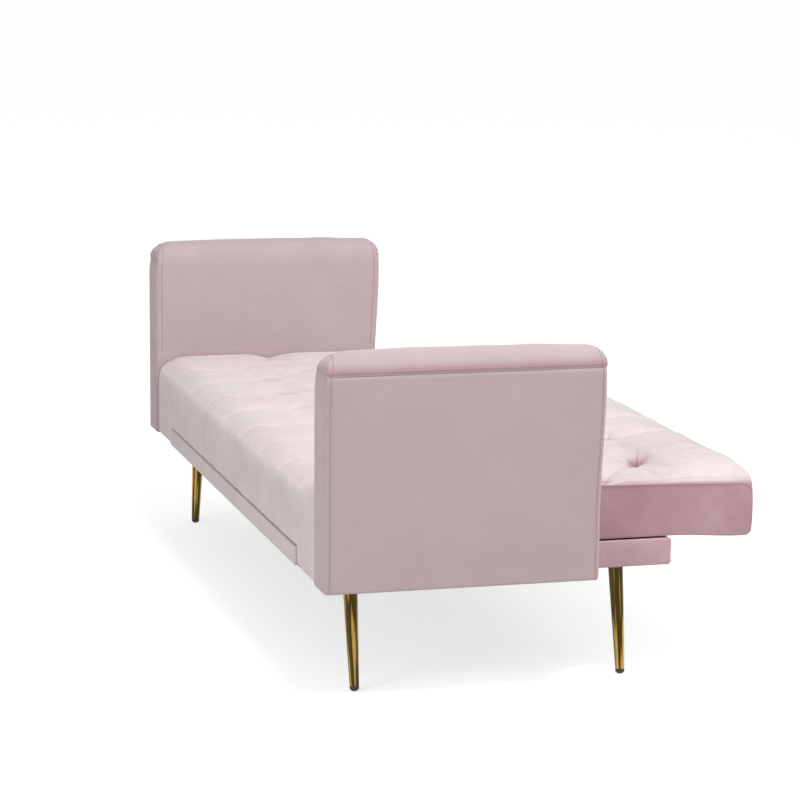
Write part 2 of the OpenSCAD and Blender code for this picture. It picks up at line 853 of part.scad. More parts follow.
module zigzag(front, rear) {
    pitch = (rear - front) / spring_loops;
    for (k = [0 : spring_loops])
        translate([-spring_half_bar, front + k * pitch - spring_wire / 2])
            square([2 * spring_half_bar, spring_wire]);
    for (k = [0 : spring_loops - 1]) {
        side = k % 2 == 0 ? 1 : -1;
        translate([side * spring_half_bar, front + (k + 0.5) * pitch])
            difference() {
                circle(pitch / 2 + spring_wire / 2);
                circle(pitch / 2 - spring_wire / 2);
                translate([side > 0 ? -pitch : 0, -pitch])
                    square([pitch, 2 * pitch]);
            }
    }
}

module spring_places() {
    limit = tuft_limit / 2;
    for (i = [-limit : limit])
        translate([i * tuft_spacing, 0, 0])
            children();
}

module springs(front, rear, low) {
    spring_places()
        translate([0, 0, low])
            linear_extrude(spring_wire)
                zigzag(front, rear);
}

module spring_clip(y, low) {
    difference() {
        block([-clip_width / 2, clip_width / 2], [y - clip_length / 2, y + clip_length / 2],
            [low, low + clip_height]);
        block([-clip_width, clip_width], [y - spring_wire / 2, y + spring_wire / 2],
            [low - cut, low + spring_wire]);
    }
}

module seat_springs() {
    color("slategray")
        placed()
            springs(seat_inner_front + rail_thickness / 2, seat_inner_rear - rail_thickness / 2,
                seat_rail_top);
}

module seat_spring_clips() {
    color("gray")
        placed()
            for (y = [seat_inner_front + rail_thickness / 2, seat_inner_rear - rail_thickness / 2])
                spring_places()
                    spring_clip(y, seat_rail_top);
}

module seat_spring_pad() {
    color("gainsboro")
        placed()
            difference() {
                block([-seat_inner_half, seat_inner_half], [seat_inner_front, seat_inner_rear],
                    [seat_rail_top + clip_height, seat_rail_top + clip_height + pad_thickness]);
                both_sides()
                    seat_hinge_room();
            }
}

module seat_foam() {
    color("lightyellow")
        placed()
            difference() {
                block([foam_inset - seat_inner_half, seat_inner_half - foam_inset],
                    [seat_inner_front + foam_inset, seat_inner_rear],
                    [seat_rail_top + clip_height + pad_thickness, foam_top]);
                both_sides()
                    seat_hinge_room();
            }
}

module seat_boxing() {
    pad_top = seat_rail_top + clip_height + pad_thickness;
    roll = seat_setback + roll_line_shares[0] * seat_roll_depth;
    foam_front = seat_inner_front + foam_inset;
    color("pink")
        placed()
            difference() {
                union() {
                    plate(-seat_half, seat_half)
                        polygon([[seat_setback, underside_height], [seat_setback, seat_roll_height],
                            [roll, foam_top], [foam_front, foam_top], [foam_front, pad_top],
                            [seat_inner_front, pad_top], [seat_inner_front, underside_height]]);
                    block([-seat_half, seat_half], [seat_inner_rear, seat_rear], [base_top, foam_top]);
                    both_sides() {
                        block([seat_inner_half, seat_half], [seat_inner_front, seat_rear],
                            [base_top, foam_top]);
                        block([seat_inner_half - foam_inset, seat_half], [seat_inner_front, seat_rear],
                            [pad_top, foam_top]);
                    }
                }
                block([-band_length / 2 - band_gap, band_length / 2 + band_gap],
                    [0, seat_inner_front + cut],
                    [underside_height - cut, underside_height + band_height + band_gap]);
                both_sides() {
                    seat_hinge_room();
                    arm_bolt_holes();
                }
            }
}

module seat_top_panel() {
    lines = length_lines(seat_half);
    color("mistyrose")
        placed()
            tufted_block([for (y = seat_depth_lines) for (x = lines)
                [x, y, max(seat_top(x, y), foam_top + cut)]],
                len(lines), foam_top, row_at(seat_depth_lines, seat_notch));
}

// Back

module back_side_rail() {
    difference() {
        side_rail(back_inner_half, back_rail_thickness, back_inner_front, back_inner_rear,
            back_rail_low, back_rail_top);
        at_hinge()
            screw_places(1)
                screw_hole(back_plate_low);
    }
}

module back_cross_rail(front) {
    half = back_inner_half - back_rail_thickness;
    block([-half, half], [front, front + rail_thickness], [back_rail_low, back_rail_top]);
}

module back_front_rail() { color("burlywood") placed() back_cross_rail(back_inner_front); }
module back_rear_rail() { color("burlywood") placed() back_cross_rail(back_inner_rear - rail_thickness); }
module back_left_rail() { color("tan") placed() left_side() back_side_rail(); }
module back_right_rail() { color("tan") placed() back_side_rail(); }

module back_springs() {
    color("slategray")
        placed()
            springs(back_inner_front + rail_thickness / 2, back_inner_rear - rail_thickness / 2,
                back_rail_top);
}

module back_spring_clips() {
    color("gray")
        placed()
            for (y = [back_inner_front + rail_thickness / 2, back_inner_rear - rail_thickness / 2])
                spring_places()
                    spring_clip(y, back_rail_top);
}

module back_spring_pad() {
    color("gainsboro")
        placed()
            difference() {
                block([-back_inner_half, back_inner_half], [back_inner_front, back_inner_rear],
                    [back_rail_top + clip_height, back_rail_top + clip_height + pad_thickness]);
                both_sides()
                    back_hinge_room();
            }
}

module back_foam() {
    color("lightyellow")
        placed()
            difference() {
                block([foam_inset - back_inner_half, back_inner_half - foam_inset],
                    [back_inner_front, back_inner_rear - foam_inset],
                    [back_rail_top + clip_height + pad_thickness, back_foam_top]);
                both_sides()
                    back_hinge_room();
            }
}

module back_boxing() {
    pad_top = back_rail_top + clip_height + pad_thickness;
    foam_rear = back_inner_rear - foam_inset;
    roll = back_rear - rear_line_shares[0] * rear_line_span;
    color("pink")
        placed()
            difference() {
                union() {
                    plate(-back_half, back_half)
                        polygon([[back_rear, back_bottom], [back_rear, back_bottom + back_edge_rise],
                            [roll, back_foam_top], [foam_rear, back_foam_top], [foam_rear, pad_top],
                            [back_inner_rear, pad_top], [back_inner_rear, back_bottom]]);
                    block([-back_half, back_half], [back_front, back_inner_front],
                        [back_bottom, back_foam_top]);
                    both_sides() {
                        block([back_inner_half, back_half], [back_front, back_inner_rear],
                            [back_bottom, back_foam_top]);
                        block([back_inner_half - foam_inset, back_half], [back_front, back_inner_rear],
                            [pad_top, back_foam_top]);
                    }
                }
                both_sides()
                    back_hinge_room();
            }
}

// Drawn from the rear edge forwards, so that its last row lies at the crease.
module back_top_panel() {
    lines = length_lines(back_half);
    rows = [for (y = back_depth_lines) -y];
    color("mistyrose")
        placed()
            mirror([0, 1, 0])
                tufted_block([for (y = back_depth_lines) for (x = lines)
                    [x, -y, max(back_surface(x, y), back_foam_top + cut)]],
                    len(lines), back_foam_top, row_at(rows, -back_notch));
}

module back_underside() {
    color("lightpink")
        placed()
            block([-back_inner_half, back_inner_half], [back_inner_front, back_inner_rear],
                [back_bottom, back_rail_low]);
}

// Ratchet hinge, drawn for the right-hand end round the pivot

module at_hinge() {
    translate([0, crease_depth, hinge_height])
        children();
}

module plate_outline(side) {
    neck_length = norm([hinge_reach, hinge_drop]);
    neck_turn = atan2(-hinge_drop, side * hinge_reach);
    circle(hinge_hub_radius);
    rotate(neck_turn)
        translate([0, -hinge_neck_width / 2])
            square([neck_length, hinge_neck_width]);
    translate([side > 0 ? hinge_reach - hinge_hub_radius : hinge_hub_radius - hinge_reach - hinge_foot_length,
        -hinge_drop - hinge_foot_height / 2])
        square([hinge_foot_length, hinge_foot_height]);
}

module screw_places(side) {
    for (share = [0.2, 0.55, 0.9])
        translate([0, side * (hinge_reach - hinge_hub_radius + share * hinge_foot_length), -hinge_drop])
            children();
}

module seat_plate() {
    stud_low = back_plate_top - hinge_plate_thickness;
    at_hinge()
        difference() {
            union() {
                plate(seat_plate_low, hinge_face)
                    plate_outline(-1);
                rod(pawl_pin_radius, stud_low - running_clearance, hinge_face - cut,
                    -pawl_pivot_reach, -pawl_pivot_drop);
                rod(pawl_head_radius, stud_low - hinge_head_thickness, stud_low - running_clearance,
                    -pawl_pivot_reach, -pawl_pivot_drop);
                rod(leaf_stud_radius, stud_low, hinge_face - cut, -leaf_stud_reach, -leaf_stud_drop);
            }
            rod(hinge_pin_radius + running_clearance, slot_low, slot_top, 0, 0);
            screw_places(-1)
                rod(screw_radius + bolt_clearance, slot_low, slot_top, 0, 0);
        }
}

module ratchet_outline() {
    spread = notch_angle * (notch_count - 1);
    difference() {
        circle(ratchet_radius);
        rotate(270 + notch_angle / 2)
            square([2 * ratchet_radius, 2 * ratchet_radius]);
        rotate(notch_angle / 2)
            translate([-2 * ratchet_radius, 0])
                square([4 * ratchet_radius, 2 * ratchet_radius]);
        for (k = [0 : notch_count - 1])
            rotate(270 - k * notch_angle)
                translate([ratchet_radius, 0])
                    circle(notch_radius);
    }
}

module back_plate() {
    at_hinge()
        difference() {
            plate(back_plate_low, back_plate_top) {
                plate_outline(1);
                ratchet_outline();
            }
            rod(hinge_pin_radius + running_clearance, slot_low, slot_top, 0, 0);
            screw_places(1)
                rod(screw_radius + bolt_clearance, slot_low, slot_top, 0, 0);
        }
}

module hinge_pin() {
    inner_face = back_plate_low - running_clearance;
    at_hinge() {
        rod(hinge_pin_radius, inner_face, hinge_face, 0, 0);
        rod(hinge_head_radius, inner_face - hinge_head_thickness, inner_face, 0, 0);
        rod(hinge_head_radius, hinge_face, hinge_face + hinge_head_thickness, 0, 0);
    }
}

module pawl() {
    nose_drop = ratchet_radius + nose_gap + nose_radius - pawl_pivot_drop;
    arm_top = -nose_drop - nose_length;
    at_hinge()
        translate([0, -pawl_pivot_reach, -pawl_pivot_drop])
            difference() {
                plate(back_plate_low, back_plate_top) {
                    circle(pawl_hub_radius);
                    translate([0, arm_top - pawl_arm_thickness])
                        square([pawl_pivot_reach + nose_radius, pawl_arm_thickness]);
                    translate([pawl_pivot_reach - nose_radius, arm_top - pawl_arm_thickness])
                        square([2 * nose_radius, pawl_arm_thickness + nose_length]);
                    translate([pawl_pivot_reach, -nose_drop])
                        circle(nose_radius);
                }
                rod(pawl_pin_radius + running_clearance, slot_low, slot_top, 0, 0);
            }
}

module pawl_spring() {
    nose_drop = ratchet_radius + nose_gap + nose_radius;
    tip_z = -nose_drop - nose_length - pawl_arm_thickness - leaf_gap - leaf_thickness;
    ring = leaf_stud_radius + bolt_clearance;
    start_z = ring - leaf_stud_drop;
    run = leaf_stud_reach - 2 * nose_radius;
    at_hinge()
        plate(back_plate_low, back_plate_top)
            difference() {
                union() {
                    translate([-leaf_stud_reach, -leaf_stud_drop])
                        circle(ring + leaf_thickness);
                    translate([-leaf_stud_reach, start_z])
                        rotate(atan2(tip_z - start_z, run))
                            square([run, leaf_thickness]);
                }
                translate([-leaf_stud_reach, -leaf_stud_drop])
                    circle(ring);
            }
}

module left_hinge_seat_plate() { color("silver") placed() left_side() seat_plate(); }
module right_hinge_seat_plate() { color("silver") placed() seat_plate(); }
module left_hinge_back_plate() { color("darkgray") placed() left_side() back_plate(); }
module right_hinge_back_plate() { color("darkgray") placed() back_plate(); }
module left_hinge_pin() { color("gray") placed() left_side() hinge_pin(); }
module right_hinge_pin() { color("gray") placed() hinge_pin(); }
module left_hinge_pawl() { color("dimgray") placed() left_side() pawl(); }
module right_hinge_pawl() { color("dimgray") placed() pawl(); }
module pawl_springs() { color("slategray") placed() both_sides() pawl_spring(); }

module screw(face) {
    rod(screw_radius, face - screw_head_thickness, face + hinge_plate_thickness + screw_length, 0, 0);
    rod(screw_head_radius, face - screw_head_thickness, face, 0, 0);
}

module screw_hole(face) {
    rod(screw_radius + bolt_clearance, face, face + hinge_plate_thickness + screw_length + bolt_clearance,
        0, 0);
}

module hinge_seat_screws() {
    color("silver")
        placed()
            both_sides()
                at_hinge()
                    screw_places(-1)
                        screw(seat_plate_low);
}

module hinge_back_screws() {
    color("silver")
        placed()
            both_sides()
                at_hinge()
                    screw_places(1)
                        screw(back_plate_low);
}

base_front_rail();
base_rear_rail();
base_left_rail();
base_right_rail();
base_slats();
leg_blocks();
base_cover();
base_dust_cover();
front_band();
front_band_cover();
front_left_leg();
front_right_leg();
rear_left_leg();
rear_right_leg();
leg_plates();
leg_studs();
foot_caps();
seat_front_rail();
seat_rear_rail();
seat_left_rail();
seat_right_rail();
seat_springs();
seat_spring_clips();
seat_spring_pad();
seat_foam();
seat_boxing();
seat_top_panel();
back_front_rail();
back_rear_rail();
back_left_rail();
back_right_rail();
back_springs();
back_spring_clips();
back_spring_pad();
back_foam();
back_boxing();
back_top_panel();
back_underside();
left_hinge_seat_plate();
right_hinge_seat_plate();
left_hinge_back_plate();
right_hinge_back_plate();
left_hinge_pin();
right_hinge_pin();
left_hinge_pawl();
right_hinge_pawl();
pawl_springs();
hinge_seat_screws();
hinge_back_screws();
left_arm_frame();
right_arm_frame();
left_arm_padding();
right_arm_padding();
left_arm_outer_panel();
right_arm_outer_panel();
left_arm_inner_panel();
right_arm_inner_panel();
arm_boxing();
arm_bolts();
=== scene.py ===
import json
import math
import bpy
import bmesh
import numpy as np
from mathutils import Matrix, Vector


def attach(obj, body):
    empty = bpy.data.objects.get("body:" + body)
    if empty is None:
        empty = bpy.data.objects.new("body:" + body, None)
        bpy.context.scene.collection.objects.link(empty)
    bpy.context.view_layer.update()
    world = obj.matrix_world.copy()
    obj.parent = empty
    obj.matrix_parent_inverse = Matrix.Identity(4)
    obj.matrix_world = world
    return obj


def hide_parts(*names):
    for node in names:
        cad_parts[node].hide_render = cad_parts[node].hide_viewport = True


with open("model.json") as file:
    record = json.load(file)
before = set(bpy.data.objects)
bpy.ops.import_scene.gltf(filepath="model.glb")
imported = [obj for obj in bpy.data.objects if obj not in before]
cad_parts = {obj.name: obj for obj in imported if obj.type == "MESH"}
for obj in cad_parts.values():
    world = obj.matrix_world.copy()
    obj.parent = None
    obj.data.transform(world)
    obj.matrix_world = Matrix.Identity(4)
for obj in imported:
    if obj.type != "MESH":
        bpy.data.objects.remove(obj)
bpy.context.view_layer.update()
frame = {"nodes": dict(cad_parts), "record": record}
print("frame loaded")


# selecting, adding and finishing meshes

def deselectAll():
    bpy.ops.object.select_all(action="DESELECT")


def makeActive(piece):
    deselectAll()
    piece.select_set(True)
    bpy.context.view_layer.objects.active = piece


def addBlock(name, low, high):
    deselectAll()
    middle = [(a + b) / 2 for a, b in zip(low, high)]
    bpy.ops.mesh.primitive_cube_add(size=1, location=middle)
    block = bpy.context.active_object
    block.name = name
    block.scale = [b - a for a, b in zip(low, high)]
    bpy.ops.object.transform_apply(location=True, rotation=True, scale=True)
    return block


def selectIn(piece, kind, test):
    # goes into edit mode and selects the edges or faces that pass the test
    makeActive(piece)
    bpy.ops.object.mode_set(mode="EDIT")
    bpy.ops.mesh.select_mode(type=kind)
    bpy.ops.mesh.select_all(action="DESELECT")
    mesh = bmesh.from_edit_mesh(piece.data)
    for item in mesh.edges if kind == "EDGE" else mesh.faces:
        item.select_set(bool(test(item)))
    bmesh.update_edit_mesh(piece.data)


def bevelEdges(piece, test, width, segments):
    # test gets the two ends of an edge and says whether it is rounded
    selectIn(piece, "EDGE", lambda edge: test(edge.verts[0].co, edge.verts[1].co))
    bpy.ops.mesh.bevel(offset=width, segments=segments, profile=0.5, affect="EDGES")
    bpy.ops.object.mode_set(mode="OBJECT")


def joinInto(piece, others):
    makeActive(piece)
    for other in others:
        other.select_set(True)
    bpy.ops.object.join()


def applyModifier(piece, kind, **values):
    makeActive(piece)
    modifier = piece.modifiers.new(kind.title(), kind)
    for name, value in values.items():
        setattr(modifier, name, value)
    bpy.ops.object.modifier_apply(modifier=modifier.name)


def voxelRemesh(piece, size):
    applyModifier(piece, "REMESH", mode="VOXEL", voxel_size=size, use_smooth_shade=True)


def vectors(source, field):
    flat = np.empty(len(source) * 3)
    source.foreach_get(field, flat)
    return flat.reshape(-1, 3)


def points(piece):
    return vectors(piece.data.vertices, "co")


def pointNormals(piece):
    return vectors(piece.data.vertex_normals, "vector")


def setPoints(piece, places):
    piece.data.vertices.foreach_set("co", np.ascontiguousarray(places, dtype=np.float64).ravel())
    piece.data.update()


def ease(t):
    t = np.clip(t, 0, 1)
    return t * t * (3 - 2 * t)


def rise(distance, width):
    # a quarter circle's rise from an edge
    t = np.clip(1 - distance / width, 0, 1)
    return np.sqrt(np.clip(1 - t * t, 0, 1))


def ripple(x, y, length, seed):
    # soft unevenness between -1 and 1, from a few waves with fixed directions
    total = 0
    for k in range(5):
        turn = seed * 1.7 + k * 2.399
        wave = 2 * math.pi / length * (0.7 + 0.23 * k)
        total = total + np.sin(wave * (x * math.cos(turn) + y * math.sin(turn)) + seed * 3.1 + k * 1.9)
    return total / 3.2


def swell(piece, pinned, cap, pressure):
    # Cloth blown up from inside, with some points held and every move capped
    start = points(piece)
    group = piece.vertex_groups.new(name="held")
    group.add([int(i) for i in np.flatnonzero(pinned)], 1.0, "REPLACE")
    makeActive(piece)
    cloth = piece.modifiers.new("Cloth", "CLOTH")
    cloth.settings.quality = 4
    cloth.settings.use_pressure = True
    cloth.settings.uniform_pressure_force = pressure
    cloth.settings.vertex_group_mass = "held"
    cloth.settings.effector_weights.gravity = 0
    cloth.point_cache.frame_start = 1
    cloth.point_cache.frame_end = 20
    for step in range(1, 21):
        bpy.context.scene.frame_set(step)
    bpy.ops.object.modifier_apply(modifier=cloth.name)
    move = points(piece) - start
    reach = np.linalg.norm(move, axis=1)
    print("  cloth moved", piece.name, "by", round(float(reach.max()) * 1000, 1), "mm at most,",
          round(float(np.median(reach[~pinned])) * 1000, 1), "mm at the middle")
    share = cap * np.tanh(reach / np.maximum(cap, 1e-6)) / np.maximum(reach, 1e-9)
    setPoints(piece, start + move * share[:, None])
    piece.vertex_groups.clear()
    bpy.context.scene.frame_set(1)


def refineNear(piece, tufts, lines, width, height):
    # halves the faces beside the pleats, where the sewing needs a finer mesh
    mesh = piece.data
    middles = vectors(mesh.polygons, "center")
    gap, along = nearLines(middles[:, 0], middles[:, 1], lines)
    reach, which, turn = nearTufts(middles[:, 0], middles[:, 1], tufts)
    chosen = ((gap < width) | (reach < 2.2 * width)) & (middles[:, 2] > height)
    makeActive(piece)
    mesh.polygons.foreach_set("select", chosen)
    bpy.ops.object.mode_set(mode="EDIT")
    bpy.ops.mesh.select_mode(type="FACE")
    bpy.ops.object.mode_set(mode="OBJECT")
    mesh.polygons.foreach_set("select", chosen)
    bpy.ops.object.mode_set(mode="EDIT")
    bpy.ops.mesh.subdivide(number_cuts=1)
    bpy.ops.object.mode_set(mode="OBJECT")


def smoothShade(piece):
    makeActive(piece)
    bpy.ops.object.shade_smooth()


# tufts and the pleats between them, shared by seat and back

tufting = {
    "spacing": 0.186,          # along a row
    "seatRows": (-0.3000, -0.1800, -0.0600),
    "backRows": (0.2675, 0.1575),
    "coneDepth": 0.0160, "coneReach": 0.064,
    "valleyDepth": 0.0135, "valleyAtTuft": 0.0165, "valleyWidth": 0.064,
    "creaseDepth": 0.0022, "creaseAtTuft": 0.0042, "creaseWidth": 0.0030,
    "pitDepth": 0.0035, "pitWidth": 0.0075,
    "wrinkleDepth": 0.0034, "wrinkleReach": 0.020, "fineWidth": 0.010,
}


def tuftRow(odd):
    # an odd row has a tuft on either side of the middle, an even row one in it
    if odd:
        return [(k + 0.5) * tufting["spacing"] for k in range(-4, 4)]
    return [k * tufting["spacing"] for k in range(-4, 5)]


def tuftPlan(rows, firstOdd, openEdge, creaseEdge, sideEdge):
    tufts, lines = [], []
    for n, y in enumerate(rows):
        for x in tuftRow((n % 2 == 0) == firstOdd):
            tufts.append((x, y))
            if n + 1 < len(rows):
                for x2 in (x - tufting["spacing"] / 2, x + tufting["spacing"] / 2):
                    if abs(x2) < tufting["spacing"] * 4.2:
                        lines.append((x, y, x2, rows[n + 1], 1))
            if n == 0:
                lines.append((x, y, x, openEdge, 0))
            if n == len(rows) - 1:
                lines.append((x, y, x, creaseEdge, 0))
            if abs(x) > tufting["spacing"] * 3.9:
                lines.append((x, y, math.copysign(sideEdge, x), y, 0))
    return np.array(tufts), np.array(lines)


def nearLines(x, y, lines):
    # for each point: distance to the nearest pleat, and how far along it the nearest tuft is
    best = np.full(len(x), 1e3)
    along = np.full(len(x), 1e3)
    for x0, y0, x1, y1, both in lines:
        dx, dy = x1 - x0, y1 - y0
        length = math.hypot(dx, dy)
        t = np.clip(((x - x0) * dx + (y - y0) * dy) / length ** 2, 0, 1)
        gap = np.hypot(x - x0 - t * dx, y - y0 - t * dy)
        reach = (np.minimum(t, 1 - t) if both else t) * length
        closer = gap < best
        best[closer] = gap[closer]
        along[closer] = reach[closer]
    return best, along


def nearTufts(x, y, tufts):
    best = np.full(len(x), 1e3)
    which = np.zeros(len(x), int)
    for k, (tx, ty) in enumerate(tufts):
        gap = np.hypot(x - tx, y - ty)
        closer = gap < best
        best[closer] = gap[closer]
        which[closer] = k
    turn = np.arctan2(y - tufts[which, 1], x - tufts[which, 0])
    return best, which, turn


def broadDip(x, y, tufts, lines, v):
    # the soft hollows that make the padding stand up in diamonds
    reach, which, turn = nearTufts(x, y, tufts)
    gap, along = nearLines(x, y, lines)
    cone = v["coneScale"] * tufting["coneDepth"] * np.clip(1 - reach / tufting["coneReach"], 0, 1) ** 2
    deep = tufting["valleyDepth"] + (tufting["valleyAtTuft"] - tufting["valleyDepth"]) * np.exp(-along / 0.03)
    # shallow where a pleat runs out to the edge
    deep = deep * (1 - 0.58 * ease((along - 0.045) / 0.075))
    valley = deep * np.clip(1 - gap / tufting["valleyWidth"], 0, 1) ** 2
    return cone + v["valleyScale"] * valley


def fineDip(x, y, tufts, lines, seed, gathered):
    # the sewn pleats, the pit of each tuft and the wrinkles round it
    reach, which, turn = nearTufts(x, y, tufts)
    # the pleats waver a little, but run straight over the front
    wobble = 0.0022 * ripple(x, y, 0.09, seed) * ease((y + 0.43) / 0.06)
    gap, along = nearLines(x + wobble, y - wobble, lines)
    more = tufting["creaseAtTuft"] - tufting["creaseDepth"]
    deep = tufting["creaseDepth"] + more * np.exp(-along / 0.02)
    width = tufting["creaseWidth"] * (1 + 0.8 * np.clip(along / 0.07, 0, 1))
    crease = deep * np.exp(-gap / width)
    pit = tufting["pitDepth"] * np.exp(-(reach / tufting["pitWidth"]) ** 2)
    fold = np.cos(turn * (7 + which % 3) + which * 2.1) + 0.6 * np.cos(turn * 13 + which * 4.7)
    wrinkle = gathered * tufting["wrinkleDepth"] * fold * np.exp(-reach / tufting["wrinkleReach"])
    wrinkle *= np.clip(reach / 0.005, 0, 1)
    return crease + pit + wrinkle


# both cushions

cushion = {
    "fullOver": 0.07, "fadeFrom": 0.004, "fadeOver": 0.085, "endKeep": 0.75, "edgeSoft": 0.012,
    "roomFrom": 0.01, "roomOver": 0.05, "shapedFrom": 0.300, "pillowReach": 0.050,
    "edgeHeld": 0.006, "tuftHeld": 0.007, "capPleat": 0.0012, "capEdge": 0.003, "capMiddle": 0.008,
    "capOver": 0.06, "pressure": 4.0,
    "upFrom": 0.25, "upOver": 0.5, "creaseFree": 0.004, "creaseOver": 0.03, "creaseKeep": 0.3,
    "slack": 0.0009, "slackLength": 0.23, "smallSlack": 0.0004, "smallLength": 0.06,
    "pinX": 0.791, "pinY": 0.0825, "pinHalfX": 0.010, "pinHalfY": 0.016, "pinTop": 0.397,
}


def rollEdge(piece, y, z, width, segments):
    # rounds the long edge that lies at this y and z
    bevelEdges(piece, lambda a, b: max(abs(a.y - y), abs(b.y - y)) < 1e-4
               and max(abs(a.z - z), abs(b.z - z)) < 1e-3, width, segments)


def blockTop(y, v):
    # the upper face of the block with its two rounded edges
    first, last = v["rolls"]
    drop = first * (1 - rise(y - v["low"][1], first)) + last * (1 - rise(v["high"][1] - y, last))
    return v["high"][2] - drop


def sideHeight(v, y):
    # height of the seam along the end of a cushion
    heights = np.array(v["sideHeights"])
    return np.interp(y, heights[:, 0], heights[:, 1])


def pillowness(x, y, lines):
    # nothing at a sewn pleat, one in the middle of a pillow
    gap, along = nearLines(x, y, lines)
    return ease(gap / cushion["pillowReach"])


def shapeTop(piece, v, tufts, lines):
    # moves the top of the block onto the profile and presses the hollows in; gives the distance to the edges
    c = cushion
    p = points(piece)
    x, y, z = p[:, 0], p[:, 1], p[:, 2]
    crown = np.interp(y, v["profileY"], v["profileZ"])
    side = v["high"][0] - np.abs(x)
    edgeHeight = sideHeight(v, y)
    # the end pillow is fuller towards the open edge than beside the tufts
    full = ease((np.abs(y - v["creaseAt"]) - v["fullFrom"]) / c["fullOver"])
    lift = v["sideLift"][0] + (v["sideLift"][1] - v["sideLift"][0]) * full
    width = v["sideWidth"][0] + (v["sideWidth"][1] - v["sideWidth"][0]) * full
    roll = 1 - (1 - np.clip(side / v["sideRoll"], 0, 1)) ** 2
    across = lift * roll + (1 - lift) * ease(side / width)
    target = np.minimum(crown, edgeHeight + (v["high"][2] - edgeHeight) * across)
    longEdge = np.minimum(y - v["low"][1], v["high"][1] - y)
    edge = np.minimum(longEdge, side)
    # a pleat keeps a little of its depth over the open edge, and most of it at the ends
    kept = v["edgeDip"] + (1 - v["edgeDip"]) * ease((longEdge - c["fadeFrom"]) / c["fadeOver"])
    kept = kept * (c["endKeep"] + (1 - c["endKeep"]) * ease((side - c["fadeFrom"]) / c["fadeOver"]))
    target = target - broadDip(x, y, tufts, lines, v) * kept * ease(edge / c["edgeSoft"])
    room = ease((edge - c["roomFrom"]) / c["roomOver"]) * pillowness(x, y, lines)
    target = target - v["swellRoom"] * room
    base = blockTop(y, v)
    p[:, 2] = z + (target - base) * ease((z - c["shapedFrom"]) / (base - c["shapedFrom"]))
    setPoints(piece, p)
    return edge


def swellTop(piece, v, uprightFace, topFrom, edge, tufts, lines):
    # only the top and one upright face swell: every tuft is held, and the pleats hardly move
    c = cushion
    p = points(piece)
    reach, which, turn = nearTufts(p[:, 0], p[:, 1], tufts)
    topFace = (p[:, 2] > topFrom) & (edge > c["edgeHeld"])
    upright = uprightFace(p[:, 1]) & (p[:, 2] > c["shapedFrom"])
    pinned = ~(upright | topFace) | (reach < c["tuftHeld"])
    room = c["capEdge"] + c["capMiddle"] * ease(edge / c["capOver"])
    cap = np.where(topFace, c["capPleat"] + room * pillowness(p[:, 0], p[:, 1], lines), v["uprightCap"])
    swell(piece, pinned, cap, c["pressure"])


def sewTop(piece, v, tufts, lines, seed):
    c = cushion
    p = points(piece)
    normal = pointNormals(piece)
    x, y = p[:, 0], p[:, 1]
    edge = np.minimum(np.minimum(y - v["low"][1], v["high"][1] - y), v["high"][0] - np.abs(x))
    upward = ease((normal[:, 2] - c["upFrom"]) / c["upOver"])
    dip = fineDip(x, y, tufts, lines, seed, v["gathered"])
    awayFromCrease = ease((np.abs(y - v["creaseAt"]) - c["creaseFree"]) / c["creaseOver"])
    soft = (c["slack"] * ripple(x, y, c["slackLength"], seed + 2)
            + c["smallSlack"] * ripple(x, y, c["smallLength"], seed + 5))
    share = upward * (c["creaseKeep"] + (1 - c["creaseKeep"]) * awayFromCrease)
    p -= normal * ((dip - soft) * share)[:, None]
    low = (upward > 0.5) & (edge > c["roomFrom"])
    p[:, 2] = np.where(low, np.maximum(p[:, 2], v["lowest"]), p[:, 2])
    setPoints(piece, p)


def clearPins(p):
    # the cushions stay below the hinge pins at both ends of the crease
    c = cushion
    across = ((np.abs(p[:, 0]) - c["pinX"]) / c["pinHalfX"]) ** 4
    near = np.exp(-(across + ((p[:, 1] - c["pinY"]) / c["pinHalfY"]) ** 4))
    p[:, 2] -= near * ease((p[:, 2] - 0.385) / 0.01) * np.clip(p[:, 2] - c["pinTop"], 0, 1)


# seat

seat = {
    "low": (-0.820, -0.4565, 0.283), "high": (0.820, 0.0785, 0.430),
    "rolls": (0.040, 0.012), "voxel": 0.006,
    "lipDepth": 0.024, "lipTop": 0.300, "underside": 0.2293, "bandHalf": 0.6562, "bandTop": 0.2683,
    "profileY": (-0.4565, -0.4555, -0.4525, -0.4465, -0.4375, -0.4250, -0.4065, -0.3675, -0.3285, -0.2105,
                 -0.0605, 0.0095, 0.0445, 0.0645, 0.0725, 0.0765, 0.0785),
    "profileZ": (0.368, 0.378, 0.388, 0.3975, 0.4055, 0.4125, 0.4185, 0.4248, 0.4278, 0.430,
                 0.4295, 0.4275, 0.4215, 0.4120, 0.4085, 0.4046, 0.3985),
    "sideHeights": ((-0.46, 0.412), (0.08, 0.412)), "sideWidth": (0.10, 0.10), "sideLift": (0.5, 0.5),
    "sideRoll": 0.030, "creaseAt": 0.0785, "fullFrom": 0.165, "edgeDip": 0.24, "swellRoom": 0.008,
    # the tuft value on the next line sets the painted shade in the seat's tuft hollows
    "lowest": 0.3880, "tuftPaintedShade": 0.06, "gathered": 0.15, "coneScale": 0.75, "valleyScale": 1.42,
    "uprightCap": 0.0004, "topFrom": 0.388,
    "channel": 0.0009, "channelWidth": 0.0036, "hollow": 0.0007, "hollowWidth": 0.026, "frontSlack": 0.0005,
}


